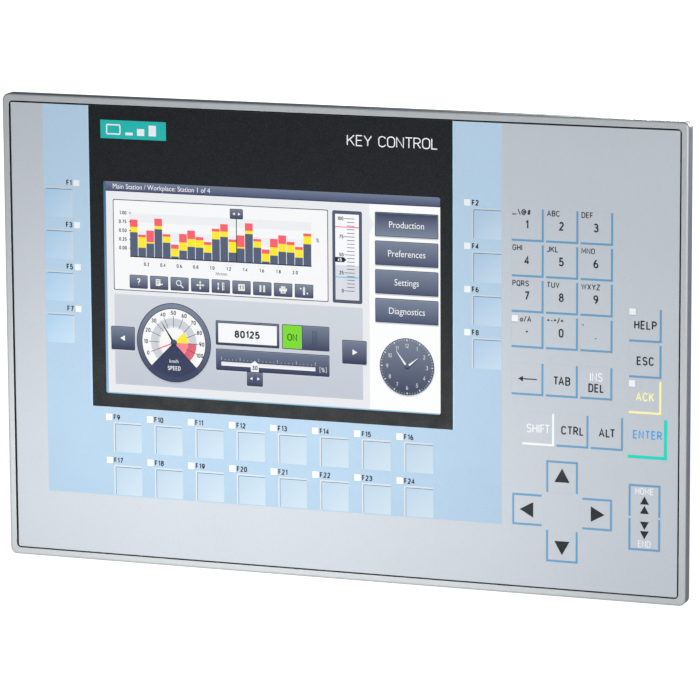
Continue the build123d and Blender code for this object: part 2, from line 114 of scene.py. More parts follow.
# ---- Materials ----
class Surface:
    """One procedural material: a Principled shader and the texture nodes that feed it."""

    def __init__(self, name, **constants):
        self.material = bpy.data.materials.new(name)
        self.material.use_nodes = True
        self.tree = self.material.node_tree
        self.shader = self.tree.nodes["Principled BSDF"]
        self.place = self.node("TexCoord").outputs["Object"]
        for socket, value in constants.items():
            self.set(socket.replace("_", " "), value)

    def node(self, kind, inputs=(), **settings):
        """Adds a node, with its settings and its inputs by name or number."""
        made = self.tree.nodes.new("ShaderNode" + kind)
        for setting, value in settings.items():
            setattr(made, setting, value)
        for socket, value in dict(inputs).items():
            self.feed(made.inputs[socket], value)
        return made

    def feed(self, socket, value):
        """Links an output to a socket, or sets the socket's own value."""
        if isinstance(value, bpy.types.NodeSocket):
            self.tree.links.new(value, socket)
        else:
            socket.default_value = value

    def set(self, socket, value):
        """Feeds one of the Principled shader's sockets."""
        self.feed(self.shader.inputs[socket], value)

    def math(self, operation, first, second=0.0):
        """One arithmetic step."""
        return self.node("Math", {0: first, 1: second}, operation=operation).outputs[0]

    def mix(self, factor, first, second, blend="MIX"):
        """Two colours mixed by a factor."""
        made = self.node("Mix", {0: factor, 6: first, 7: second}, data_type="RGBA", blend_type=blend)
        return made.outputs[2]

    def span(self, value, low, high, to_low=0.0, to_high=1.0):
        """A value's range mapped on to another, clamped."""
        inputs = {"Value": value, "From Min": low, "From Max": high, "To Min": to_low, "To Max": to_high}
        return self.node("MapRange", inputs).outputs["Result"]

    def stretched(self, stretch):
        """The object's coordinates, scaled by axis."""
        return self.node("Mapping", {"Vector": self.place, "Scale": stretch}).outputs["Vector"]

    def noise(self, size, detail=2.0, stretch=None):
        """Noise whose blotches are about size millimetres wide."""
        place = self.stretched(stretch) if stretch else self.place
        inputs = {"Vector": place, "Scale": 1 / (size * MM), "Detail": detail}
        return self.node("TexNoise", inputs).outputs["Fac"]

    def axis(self, name):
        """One of the object's coordinates, in millimetres."""
        parts = self.node("SeparateXYZ", {"Vector": self.place})
        return self.math("MULTIPLY", parts.outputs[name], 1 / MM)

    def inside(self, x0, x1, z0, z1):
        """1 inside a rectangle of the front, 0 outside it."""
        x, z = self.axis("X"), self.axis("Z")
        across = self.math("MULTIPLY", self.math("GREATER_THAN", x, x0), self.math("LESS_THAN", x, x1))
        up = self.math("MULTIPLY", self.math("GREATER_THAN", z, z0), self.math("LESS_THAN", z, z1))
        return self.math("MULTIPLY", across, up)

    def bump(self, height, depth, strength=1.0, round_edges=None):
        """Relief from a height of 0 to 1, depth millimetres deep, over edges softened by a small radius."""
        inputs = {"Height": height, "Strength": strength, "Distance": depth * MM}
        if round_edges:
            inputs["Normal"] = self.node("Bevel", {"Radius": round_edges * MM}, samples=4).outputs["Normal"]
        self.set("Normal", self.node("Bump", inputs).outputs["Normal"])

    def finish(self, base, gloss, rough, height, depth, strength=0.5, round_edges=None):
        """Sets the colour, a roughness that follows gloss between two values, and the relief."""
        self.set("Base Color", base)
        self.set("Roughness", self.span(gloss, 0.3, 0.7, *rough))
        self.bump(height, depth, strength, round_edges)
        return self.material

    def edges(self, radius):
        """1 along outer and inner edges, 0 on open faces."""
        soft = self.node("Bevel", {"Radius": radius * MM}, samples=4).outputs["Normal"]
        sharp = self.node("NewGeometry").outputs["Normal"]
        dot = self.node("VectorMath", {0: soft, 1: sharp}, operation="DOT_PRODUCT").outputs["Value"]
        return self.span(dot, 0.99, 0.8)


def scaled(colour, gain, lift=0.0):
    """A colour made darker or lighter."""
    return tuple(min(1.0, c * gain + lift) for c in colour[:3]) + (1.0,)


def tinted(surface, colour, spread, size):
    """A colour that drifts darker and lighter by a share, in blotches of a size."""
    return surface.mix(surface.noise(size, 3.0), scaled(colour, 1 - spread), scaled(colour, 1 + spread))


def plastic(name, colour, grain=0.35, relief=0.02, rough=0.5, wear=0.0, **constants):
    """Moulded plastic or paint: drifting colour, fine grain, uneven gloss and paler worn edges."""
    surface = Surface(name, **constants)
    fine = surface.noise(grain, 2.0)
    base = tinted(surface, colour, 0.06, 24.0)
    base = surface.mix(surface.span(fine, 0.3, 0.7, 0.0, 0.35), base, scaled(colour, 0.86))
    if wear:
        patchy = surface.math("MULTIPLY", surface.edges(0.5), surface.span(surface.noise(3.0), 0.35, 0.6))
        base = surface.mix(surface.math("MULTIPLY", patchy, wear), base, scaled(colour, 1.25, 0.06))
    uneven = (rough - 0.07, rough + 0.09)
    return surface.finish(base, surface.noise(9.0, 4.0), uneven, fine, relief, 0.6, 0.25)


def metal(name, colour, grain=(1, 14, 1), rough=0.32, wear=0.4, **constants):
    """Bare metal with grinding marks along one direction, dull patches and brighter edges."""
    surface = Surface(name, Metallic=1.0, **constants)
    marks = surface.noise(0.9, 4.0, grain)
    base = surface.mix(surface.span(surface.noise(7.0, 4.0), 0.35, 0.7), colour, scaled(colour, 0.72))
    base = surface.mix(surface.span(marks, 0.4, 0.62, 0.0, 0.3), base, scaled(colour, 0.55))
    base = surface.mix(surface.math("MULTIPLY", surface.edges(0.3), wear), base, scaled(colour, 1.3))
    return surface.finish(base, marks, (rough, rough + 0.2), marks, 0.01, round_edges=0.15)


def bezel_paint():
    """Satin silver paint over die-cast metal: fine sparkle, paler edges of painted highlight, sides darkened by
    painted shade and a groove filled with painted shade.
    """
    (left, front, low), (right, _, high) = [tuple(corner / MM) for corner in cad_box]
    surface = Surface("bezel_paint", Metallic=0.25, Specular_IOR_Level=0.4)
    surface.set("Coat Weight", 0.15)
    surface.set("Coat Roughness", 0.3)
    sparkle = surface.noise(0.22, 2.0)
    base = tinted(surface, rgb(178, 183, 187), 0.035, 30.0)
    base = surface.mix(surface.span(sparkle, 0.35, 0.7, 0.0, 0.5), base, rgb(206, 211, 214))
    # Paler edges: a painted highlight along the bezel's edges.
    base = surface.mix(surface.math("MULTIPLY", surface.edges(0.5), 0.4), base, rgb(216, 221, 224))
    depth = surface.axis("Y")
    # Painted shade: the sides behind the front face darken.
    side = surface.span(depth, front + GROOVE_SHADE_DEPTH, front + SIDE_SHADE_DEPTH, 0.0, 0.88)
    base = surface.mix(side, base, rgb(104, 112, 120))
    # Painted shade in the groove between the rim and the foil.
    groove = surface.math("MULTIPLY", surface.inside(left + RIM, right - RIM, low + RIM, high - RIM),
                          surface.math("GREATER_THAN", depth, front + GROOVE_SHADE_DEPTH))
    base = surface.mix(groove, base, rgb(14, 16, 18))
    peel = surface.math("ADD", sparkle, surface.noise(1.6, 2.0))
    return surface.finish(base, surface.noise(5.0, 4.0), (0.36, 0.5), peel, 0.012, round_edges=0.3)


def grey_print(surface):
    """The plain grey print."""
    return tinted(surface, rgb(188, 194, 201), 0.025, 45.0)


def blue_print(surface):
    """The light blue print, made a little deeper towards the bottom by painted shade."""
    # Painted shade: the blue darkens from the top of its field to the bottom.
    lower = surface.span(surface.axis("Z"), BLUE_FIELD[3], BLUE_FIELD[2])
    top, bottom = (tinted(surface, blue, 0.025, 45.0) for blue in (BLUE_TOP, BLUE_BOTTOM))
    return surface.mix(lower, top, bottom)


def front_print(surface):
    """The grey print with the light blue and black fields round the display and a dark outer edge of painted
    shade along the groove.
    """
    speck = surface.span(surface.noise(0.45, 4.0), 0.45, 0.72)
    black = surface.mix(speck, rgb(16, 19, 22), rgb(40, 46, 50))
    base = surface.mix(surface.inside(*BLUE_FIELD), grey_print(surface), blue_print(surface))
    base = surface.mix(surface.inside(*BLACK_FIELD), base, black)
    # Outside the foil's face, a dark edge of painted shade where the groove shades the foil.
    return surface.mix(surface.inside(*FOIL_FACE), rgb(40, 44, 48), base)


def foil(name, print_on):
    """Textured polyester foil with the print that a function gives it."""
    surface = Surface(name, Specular_IOR_Level=0.22)
    grain = surface.noise(0.28, 2.0)
    base = surface.mix(surface.span(grain, 0.4, 0.7, 0.0, 0.12), print_on(surface), GRAIN_SHADE, "MULTIPLY")
    return surface.finish(base, surface.noise(6.0, 4.0), (0.42, 0.56), grain, 0.008)


def shape_tint(surface):
    """The tint that each printed shape carries."""
    return surface.node("Attribute", attribute_name="tint").outputs["Color"]


def ink():
    """Printing ink, faintly worn."""
    surface = Surface("printing_ink", Specular_IOR_Level=0.2)
    worn = surface.span(surface.noise(0.5, 3.0), 0.35, 0.75, 0.0, 0.06)
    base = surface.mix(worn, shape_tint(surface), rgb(150, 160, 170))
    return surface.finish(base, surface.noise(3.0), (0.42, 0.54), surface.noise(0.28), 0.006)


def picture():
    """The glowing picture on the display, with a trace of its columns of cells."""
    surface = Surface("display_picture", Specular_IOR_Level=0.0)
    columns = surface.stretched((1 / (CELL * MM),) * 3)
    wave = surface.node("TexWave", {"Vector": columns, "Scale": 0.318}, bands_direction="X").outputs["Fac"]
    cells = surface.span(surface.math("ADD", wave, surface.noise(0.6)), 0.2, 1.6)
    surface.set("Base Color", rgb(4, 4, 6))
    shade = surface.math("MULTIPLY", cells, 0.05)
    surface.set("Emission Color", surface.mix(shade, shape_tint(surface), rgb(0, 0, 0)))
    surface.set("Emission Strength", PICTURE_GLOW)
    surface.set("Roughness", surface.span(surface.noise(4.0), 0.3, 0.7, 0.5, 0.6))
    return surface.material


def lens_plastic():
    """Milky light guides, with a faint painted glow."""
    surface = Surface("lens_plastic", Specular_IOR_Level=0.35)
    # A faint painted glow in the milky lenses.
    surface.set("Emission Color", rgb(240, 244, 250))
    surface.set("Emission Strength", 0.02)
    base = tinted(surface, rgb(226, 230, 234), 0.05, 1.2)
    return surface.finish(base, surface.noise(0.8), (0.25, 0.4), surface.noise(0.2), 0.01)


def pane_glass():
    """The clear anti-glare pane over the display."""
    surface = Surface("pane_glass", Alpha=0.03, Specular_IOR_Level=0.3)
    base = tinted(surface, rgb(110, 120, 128), 0.05, 20.0)
    return surface.finish(base, surface.noise(8.0, 4.0), (0.12, 0.3), surface.noise(0.2), 0.002, 0.3)


def circuit_board():
    """Green solder mask with paler traces, tinned pads and a woven ground."""
    surface = Surface("circuit_board", Specular_IOR_Level=0.5)
    weave = surface.node("TexChecker", {"Vector": surface.place, "Scale": 1 / (0.8 * MM)}).outputs["Fac"]
    turned = surface.node("Mapping", {"Vector": surface.place, "Rotation": (math.radians(90), 0, 0)})
    bricks = {"Vector": turned.outputs["Vector"], "Scale": 1 / (3.2 * MM), "Mortar Size": 0.04,
              "Color1": rgb(12, 78, 44), "Color2": rgb(18, 92, 54), "Mortar": rgb(44, 128, 80)}
    traces = surface.node("TexBrick", bricks).outputs["Color"]
    base = surface.mix(surface.math("MULTIPLY", weave, 0.08), traces, rgb(0, 30, 14))
    dots = surface.node("TexVoronoi", {"Vector": surface.place, "Scale": 1 / (4.0 * MM)}).outputs["Distance"]
    base = surface.mix(surface.math("LESS_THAN", dots, 0.12), base, rgb(190, 190, 180))
    return surface.finish(base, surface.noise(5.0), (0.3, 0.45), weave, 0.01, 0.3)


def rubber():
    """Black foam rubber with open pores."""
    surface = Surface("seal_rubber", Specular_IOR_Level=0.25)
    pores = surface.node("TexVoronoi", {"Vector": surface.place, "Scale": 1 / (0.5 * MM)}).outputs["Distance"]
    base = surface.mix(pores, rgb(12, 12, 13), rgb(40, 40, 42))
    return surface.finish(base, surface.noise(4.0), (0.8, 0.95), pores, 0.15, 0.7)


materials = {
    "bezel": bezel_paint(),
    "foil": foil("printed_foil", front_print),
    "key_caps": foil("key_foil", grey_print),
    "function_caps": foil("function_foil", blue_print),
    "ink": ink(),
    "picture": picture(),
    "lenses": lens_plastic(),
    "pane": pane_glass(),
    "paper": plastic("paper_film", rgb(226, 232, 236), 0.5, 0.01, 0.6),
    "seal": rubber(),
    "display_case": metal("display_case_steel", rgb(188, 190, 192), (1, 1, 16)),
    "display_glass": plastic("display_cell_glass", rgb(34, 38, 46), 1.0, 0.002, 0.15),
    "bracket": metal("zinc_plated_sheet", rgb(186, 188, 184), (1, 1, 10)),
    "board": circuit_board(),
    "domes": metal("dome_steel", rgb(200, 202, 204), (1, 1, 1), 0.2),
    "packages": plastic("component_packages", rgb(40, 41, 44), 0.3, 0.02, 0.5),
    "sink": metal("extruded_aluminium", rgb(170, 173, 176), (1, 1, 14), 0.35),
    "housing": plastic("housing_plastic", rgb(66, 71, 78), 0.7, 0.09, 0.55, wear=0.5),
    "screws": metal("zinc_plated_steel", rgb(205, 205, 198), (6, 1, 6), 0.25),
    "clips": metal("cast_aluminium", rgb(196, 198, 200), (2, 2, 2), 0.45),
    "green": plastic("terminal_green", rgb(38, 132, 70), 0.4, 0.03, 0.42, wear=0.3),
    "plug": plastic("plug_green", rgb(44, 146, 78), 0.4, 0.03, 0.42, wear=0.3),
    "brass": metal("brass", rgb(212, 178, 96), (6, 6, 1), 0.28),
    "shield": metal("tinned_shield", rgb(206, 206, 204), (8, 1, 1), 0.25),
    "black": plastic("moulded_black", rgb(34, 34, 36), 0.4, 0.03, 0.45, wear=0.3),
    "lock": plastic("moulded_grey", rgb(118, 123, 128), 0.5, 0.05, 0.5, wear=0.5),
}
# The nodes that each material is on; the keys' caps follow their names.
NODES_OF = {
    "bezel": ("front_frame",),
    "foil": ("overlay_foil",),
    "lenses": ("indicator_lenses",),
    "paper": ("label_strips",),
    "seal": ("panel_seal",),
    "pane": ("display_window",),
    "display_case": ("display_frame",),
    "display_glass": ("display_cell",),
    "bracket": ("display_bracket",),
    "board": ("key_board", "main_board"),
    "domes": ("snap_domes",),
    "packages": ("board_components",),
    "sink": ("heat_sink",),
    "housing": ("rear_housing", "rear_cover"),
    "screws": ("housing_screws", "clip_screws"),
    "clips": ("mounting_clips",),
    "green": ("power_socket",),
    "plug": ("power_plug",),
    "brass": ("earth_stud",),
    "shield": ("network_sockets", "serial_socket", "usb_sockets"),
    "black": ("audio_jack", "card_holder"),
    "lock": ("card_lock",),
}


def dress_nodes():
    """Gives every CAD node its material."""
    kinds = {name: kind for kind, names in NODES_OF.items() for name in names}
    for name, node in nodes.items():
        kind = kinds.get(name, "function_caps" if name.startswith("function") else "key_caps")
        node.data.materials.clear()
        node.data.materials.append(materials[kind])


# ---- Capitals and figures drawn with strokes ----
def bow(x, y, across, up, start, end):
    """Points along part of an ellipse, with angles anticlockwise from the right."""
    steps = max(2, round(abs(end - start) / 20))
    angles = [math.radians(start + (end - start) * i / steps) for i in range(steps + 1)]
    return [(x + across * math.cos(a), y + up * math.sin(a)) for a in angles]


def capsule(width):
    """An upright letter O with straight sides, one unit high."""
    half = width / 2
    loop = bow(half, 1 - half, half, half, 0, 180) + bow(half, half, half, half, 180, 360)
    return loop + loop[:1]


# Each glyph's width and strokes, on the strokes' middle lines, with the capitals one unit high.
GLYPHS = {
    "A": (0.60, [[(0, 0), (0.3, 1), (0.6, 0)], [(0.11, 0.32), (0.49, 0.32)]]),
    "B": (0.50, [[(0, 0.54), (0, 1)] + bow(0.27, 0.77, 0.22, 0.23, 90, -90) + [(0, 0.54), (0, 0)]
                 + bow(0.25, 0.27, 0.25, 0.27, -90, 90)]),
    "C": (0.52, [bow(0.27, 0.73, 0.26, 0.27, 15, 180) + bow(0.27, 0.27, 0.26, 0.27, 180, 345)]),
    "D": (0.52, [[(0, 0), (0, 1)] + bow(0.24, 0.72, 0.28, 0.28, 90, 0) + bow(0.24, 0.28, 0.28, 0.28, 0, -90)
                 + [(0, 0)]]),
    "E": (0.44, [[(0.44, 1), (0, 1), (0, 0), (0.44, 0)], [(0, 0.52), (0.40, 0.52)]]),
    "F": (0.42, [[(0.42, 1), (0, 1), (0, 0)], [(0, 0.50), (0.38, 0.50)]]),
    "G": (0.54, [bow(0.27, 0.73, 0.27, 0.27, 15, 180) + bow(0.27, 0.27, 0.27, 0.27, 180, 360)
                 + [(0.54, 0.48), (0.30, 0.48)]]),
    "H": (0.52, [[(0, 0), (0, 1)], [(0.52, 0), (0.52, 1)], [(0, 0.52), (0.52, 0.52)]]),
    "I": (0.00, [[(0, 0), (0, 1)]]),
    "J": (0.38, [[(0.38, 1)] + bow(0.17, 0.22, 0.21, 0.22, 0, -165)]),
    "K": (0.54, [[(0, 0), (0, 1)], [(0.52, 1), (0, 0.40)], [(0.18, 0.60), (0.54, 0)]]),
    "L": (0.42, [[(0, 1), (0, 0), (0.42, 0)]]),
    "M": (0.66, [[(0, 0), (0, 1), (0.33, 0.28), (0.66, 1), (0.66, 0)]]),
    "N": (0.52, [[(0, 0), (0, 1), (0.52, 0), (0.52, 1)]]),
    "O": (0.54, [capsule(0.54)]),
    "P": (0.48, [[(0, 0), (0, 1)] + bow(0.23, 0.74, 0.25, 0.26, 90, -90) + [(0, 0.48)]]),
    "Q": (0.54, [capsule(0.54), [(0.32, 0.22), (0.58, -0.06)]]),
    "R": (0.50, [[(0, 0), (0, 1)] + bow(0.23, 0.74, 0.25, 0.26, 90, -90) + [(0, 0.48)],
                 [(0.24, 0.48), (0.50, 0)]]),
    "S": (0.50, [bow(0.25, 0.755, 0.24, 0.245, 20, 270) + bow(0.25, 0.255, 0.25, 0.255, 80, -160)]),
    "T": (0.52, [[(0, 1), (0.52, 1)], [(0.26, 1), (0.26, 0)]]),
    "U": (0.52, [[(0, 1)] + bow(0.26, 0.26, 0.26, 0.26, 180, 360) + [(0.52, 1)]]),
    "V": (0.56, [[(0, 1), (0.28, 0), (0.56, 1)]]),
    "W": (0.80, [[(0, 1), (0.2, 0), (0.4, 0.92), (0.6, 0), (0.8, 1)]]),
    "X": (0.54, [[(0, 1), (0.54, 0)], [(0.54, 1), (0, 0)]]),
    "Y": (0.56, [[(0, 1), (0.28, 0.46), (0.56, 1)], [(0.28, 0.46), (0.28, 0)]]),
    "Z": (0.50, [[(0, 1), (0.5, 1), (0, 0), (0.5, 0)]]),
    "0": (0.48, [capsule(0.48)]),
    "1": (0.22, [[(0, 0.78), (0.22, 1), (0.22, 0)]]),
    "2": (0.48, [bow(0.24, 0.75, 0.23, 0.25, 165, -40) + [(0, 0), (0.48, 0)]]),
    "3": (0.48, [bow(0.22, 0.77, 0.22, 0.23, 160, -80) + bow(0.22, 0.27, 0.26, 0.27, 80, -160)]),
    "4": (0.52, [[(0.38, 0), (0.38, 1), (0, 0.26), (0.52, 0.26)]]),
    "5": (0.48, [[(0.44, 1), (0.06, 1)] + bow(0.21, 0.31, 0.27, 0.31, 130, -155)]),
    "6": (0.50, [bow(0.25, 0.27, 0.25, 0.27, 175, -175) + bow(0.44, 0.34, 0.44, 0.66, 180, 100)]),
    "7": (0.48, [[(0, 1), (0.48, 1), (0.15, 0)]]),
    "8": (0.50, [bow(0.25, 0.765, 0.21, 0.235, 0, 360), bow(0.25, 0.265, 0.25, 0.265, 0, 360)]),
    "9": (0.50, [bow(0.25, 0.73, 0.25, 0.27, -5, 355) + bow(0.06, 0.66, 0.44, 0.66, 0, -80)]),
    "-": (0.30, [[(0, 0.44), (0.30, 0.44)]]),
    "+": (0.40, [[(0, 0.5), (0.40, 0.5)], [(0.20, 0.28), (0.20, 0.72)]]),
    "*": (0.34, [[(0.17, 0.34), (0.17, 0.76)], [(0, 0.44), (0.34, 0.66)], [(0.34, 0.44), (0, 0.66)]]),
    "=": (0.40, [[(0, 0.38), (0.40, 0.38)], [(0, 0.64), (0.40, 0.64)]]),
    "/": (0.36, [[(0, -0.05), (0.36, 1.05)]]),
    "\\": (0.36, [[(0, 1.05), (0.36, -0.05)]]),
    ".": (0.00, [[(0, -0.03), (0, 0.09)]]),
    ",": (0.06, [[(0.06, 0.09), (0, -0.16)]]),
    "_": (0.40, [[(0, 0.20), (0, 0), (0.40, 0), (0.40, 0.20)]]),
    "@": (0.78, [bow(0.39, 0.48, 0.16, 0.22, 0, 360),
                 [(0.57, 0.68), (0.57, 0.30), (0.70, 0.26)] + bow(0.39, 0.48, 0.39, 0.52, 0, 300)]),
    "#": (0.56, [[(0, 0.32), (0.52, 0.32)], [(0.04, 0.68), (0.56, 0.68)], [(0.12, 0), (0.24, 1)],
                 [(0.32, 0), (0.44, 1)]]),
    "%": (0.70, [bow(0.15, 0.77, 0.15, 0.21, 0, 360), bow(0.55, 0.23, 0.15, 0.21, 0, 360),
                 [(0.14, 0), (0.56, 1)]]),
    "[": (0.18, [[(0.18, 1.1), (0, 1.1), (0, -0.1), (0.18, -0.1)]]),
    "]": (0.18, [[(0, 1.1), (0.18, 1.1), (0.18, -0.1), (0, -0.1)]]),
    "?": (0.44, [bow(0.21, 0.76, 0.22, 0.24, 165, -50) + [(0.21, 0.42), (0.21, 0.28)],
                 [(0.21, 0.02), (0.21, 0.09)]]),
    "a": (0.42, [bow(0.21, 0.31, 0.21, 0.31, 0, 360), [(0.42, 0.62), (0.42, 0)]]),
    " ": (0.24, []),
}
# The gap between glyphs, and what some pairs take off it, as shares of the capitals' height.
GLYPH_GAP = 0.11
KERNING = {"TA": 0.13, "LT": 0.15, "FT": 0.1, "TR": 0.04, "LA": 0.04, "PA": 0.06, "TY": 0.04}
# The point of a stroke's corner reaches out by at most 1 / SHARPEST of half the stroke's width.
SHARPEST = 0.5


def area(outline):
    """The area inside an outline, negative where it runs clockwise."""
    return sum(a[0] * b[1] - b[0] * a[1] for a, b in zip(outline, outline[1:] + outline[:1])) / 2


def direction(first, last):
    """The direction from one point to another."""
    length = math.hypot(last[0] - first[0], last[1] - first[1])
    return (last[0] - first[0]) / length, (last[1] - first[1]) / length


# ---- Flat printed shapes ----
class Print:
    """Thin raised shapes on one face, gathered into a single mesh with a tint for each point.

    Points are given on the face, x to the right and y up, or y down where flip is set, in units of size
    millimetres from origin. Each layer lies on the one below it, a step of millimetres further out."""

    def __init__(self, name, origin, axes, size=(1.0, 1.0), flip=False, step=INK_LAYER):
        self.name = name
        self.step = step
        self.origin = Vector(origin) * MM
        self.right, self.up = Vector(axes[0]), Vector(axes[1])
        self.out = self.right.cross(self.up)
        self.size = size
        self.turn = -1 if flip else 1
        self.points, self.faces, self.tints = [], [], []

    def add_points(self, flat, height, tint):
        """Adds points at one height; a tint is a colour or a function of x and y."""
        first = len(self.points)
        for x, y in flat:
            across = self.right * (x * self.size[0] * MM)
            along = self.up * (y * self.size[1] * self.turn * MM)
            self.points.append(self.origin + across + along + self.out * (height * MM))
            self.tints.append(tint(x, y) if callable(tint) else tint)
        return range(first, first + len(flat))

    def turned(self, outline):
        """The outline anticlockwise as it is seen on the face."""
        return outline if area(outline) * self.turn > 0 else outline[::-1]

    def shape(self, outline, tint, layer=0):
        """A flat plate over an outline."""
        outline = self.turned(list(outline))
        back = self.add_points(outline, layer * self.step, tint)
        front = self.add_points(outline, (layer + 0.8) * self.step, tint)
        self.faces.append(tuple(front))
        self.faces.append(tuple(back)[::-1])
        self.wall(back, front)

    def wall(self, low, high):
        """The side faces between two rings of points."""
        count = len(low)
        for i in range(count):
            j = (i + 1) % count
            self.faces.append((low[i], low[j], high[j], high[i]))

    def band(self, outer, inner, tint, layer=0, thickness=None):
        """A closed band between two outlines with as many points each."""
        outer, inner = self.turned(list(outer)), self.turned(list(inner))
        low = layer * self.step
        high = low + (thickness or 0.8 * self.step)
        outer_low, outer_high = self.add_points(outer, low, tint), self.add_points(outer, high, tint)
        inner_low, inner_high = self.add_points(inner, low, tint), self.add_points(inner, high, tint)
        self.wall(outer_low, outer_high)
        self.wall(inner_high, inner_low)
        self.wall(outer_high, inner_high)
        self.wall(inner_low, outer_low)

    def rect(self, x0, y0, x1, y1, tint, layer=0):
        """A rectangle."""
        self.shape([(x0, y0), (x1, y0), (x1, y1), (x0, y1)], tint, layer)

    def round_rect(self, x0, y0, x1, y1, radius, tint, layer=0):
        """A rectangle with round corners."""
        self.shape(round_outline(x0, y0, x1, y1, radius), tint, layer)

    def edge(self, x0, y0, x1, y1, width, radius, tint, layer=0):
        """The border of a rounded rectangle, drawn inwards."""
        inner = round_outline(x0 + width, y0 + width, x1 - width, y1 - width, max(radius - width, 0.05))
        self.band(round_outline(x0, y0, x1, y1, radius), inner, tint, layer)

    def line(self, start, end, width, tint, layer=0, end_width=None):
        """A straight line, which may taper."""
        end_width = width if end_width is None else end_width
        dx, dy = end[0] - start[0], end[1] - start[1]
        length = math.hypot(dx, dy)
        nx, ny = -dy / length / 2, dx / length / 2
        ends = ((start, -width), (end, -end_width), (end, end_width), (start, width))
        self.shape([(x + nx * side, y + ny * side) for (x, y), side in ends], tint, layer)

    def polar(self, centre, angle, radius):
        """The point at an angle, clockwise from the top, and a radius."""
        a = math.radians(angle)
        return (centre[0] + radius * math.sin(a), centre[1] + self.turn * radius * math.cos(a))

    def arc(self, centre, radius, start=0.0, end=360.0, steps=72):
        """Points along an arc; a whole circle leaves out the last, which is the first."""
        count = steps if end - start >= 360 else steps + 1
        return [self.polar(centre, start + (end - start) * i / steps, radius) for i in range(count)]

    def disc(self, centre, radius, tint, layer=0, steps=72):
        """A round plate."""
        self.shape(self.arc(centre, radius, steps=steps), tint, layer)

    def ring(self, centre, outer, inner, tint, layer=0):
        """A flat ring."""
        self.band(self.arc(centre, outer), self.arc(centre, inner), tint, layer)

    def sector(self, centre, inner, outer, start, end, tint, layer=0):
        """Part of a disc or ring between two angles."""
        steps = max(4, int((end - start) / 4))
        outline = self.arc(centre, outer, start, end, steps)
        if inner > 0:
            outline += self.arc(centre, inner, start, end, steps)[::-1]
        else:
            outline.append(centre)
        self.shape(outline, tint, layer)

    def triangle(self, centre, side, heading, tint, layer=0):
        """A triangle that points to a heading, clockwise from the top."""
        self.shape([self.polar(centre, heading + turn, side * reach)
                    for turn, reach in ((0, 0.56), (125, 0.62), (235, 0.62))], tint, layer)

    def stroke(self, points, width, tint, layer=0):
        """A line of even width along points, closed where the last point is the first."""
        closed = math.dist(points[0], points[-1]) < 1e-6
        points = points[:-1] if closed else points
        sides = ([], [])
        for i, (x, y) in enumerate(points):
            after = points[(i + 1) % len(points)]
            last = not closed and i == len(points) - 1
            onward = direction(points[i - 1], (x, y)) if last else direction((x, y), after)
            arriving = direction(points[i - 1], (x, y)) if closed or i > 0 else onward
            nx, ny = -(onward[1] + arriving[1]), onward[0] + arriving[0]
            length = math.hypot(nx, ny)
            reach = width / 2 / max(SHARPEST, length / 2)
            sides[0].append((x + nx / length * reach, y + ny / length * reach))
            sides[1].append((x - nx / length * reach, y - ny / length * reach))
        if closed:
            outer, inner = sorted(sides, key=lambda side: -abs(area(side)))
            self.band(outer, inner, tint, layer)
        else:
            self.shape(sides[0] + sides[1][::-1], tint, layer)

    def letters(self, words, x, y, cap, tint, layer=0, align="CENTER", weight=0.14, narrow=1.0):
        """Capitals and figures drawn with strokes, cap high, with y at the middle of the capitals."""
        width, high = cap * weight, cap * (1 - weight)
        gaps = [GLYPH_GAP - KERNING.get(glyph + after, 0) for glyph, after in zip(words, words[1:] + " ")]
        advances = [GLYPHS[glyph][0] * high * narrow + width + gap * cap for glyph, gap in zip(words, gaps)]
        length = sum(advances) - GLYPH_GAP * cap
        x += {"LEFT": 0, "CENTER": -length / 2, "RIGHT": -length}[align] + width / 2
        for glyph, advance in zip(words, advances):
            for i, line in enumerate(GLYPHS[glyph][1]):
                flat = [(x + px * high * narrow, y + self.turn * (py - 0.5) * high) for px, py in line]
                self.stroke(flat, width, tint, layer + 0.06 * i)
            x += advance

    def text(self, words, x, y, cap, tint, layer=0, align="CENTER", bold=0.0, narrow=1.0):
        """Words whose capitals are cap high, with y at the middle of the capitals."""
        mesh = word_mesh(words, align, bold)
        scale = cap / CAP_HEIGHT
        unit_x = scale * narrow * self.size[0] / self.size[1]
        first = len(self.points)
        for vertex in mesh.vertices:
            flat = (x + vertex.co.x * unit_x, y + self.turn * (vertex.co.y - CAP_HEIGHT / 2) * scale)
            self.add_points([flat], (layer + 0.4 + 0.8 * vertex.co.z) * self.step, tint)
        for polygon in mesh.polygons:
            self.faces.append(tuple(first + i for i in polygon.vertices))

    def build(self, body, material):
        """Makes the mesh and lets it ride on a body."""
        mesh = bpy.data.meshes.new(self.name)
        mesh.from_pydata([tuple(p) for p in self.points], [], self.faces)
        layer = mesh.color_attributes.new("tint", "FLOAT_COLOR", "POINT")
        layer.data.foreach_set("color", [channel for tint in self.tints for channel in tint])
        mesh.materials.append(material)
        piece = bpy.data.objects.new(self.name, mesh)
        bpy.context.scene.collection.objects.link(piece)
        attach(piece, body)


def round_outline(x0, y0, x1, y1, radius, steps=5):
    """A rounded rectangle's outline."""
    corners = [(x1 - radius, y1 - radius, 0), (x0 + radius, y1 - radius, 90),
               (x0 + radius, y0 + radius, 180), (x1 - radius, y0 + radius, 270)]
    outline = []
    for cx, cy, start in corners:
        for i in range(steps + 1):
            a = math.radians(start + 90 * i / steps)
            outline.append((cx + radius * math.cos(a), cy + radius * math.sin(a)))
    return outline


word_meshes = {}


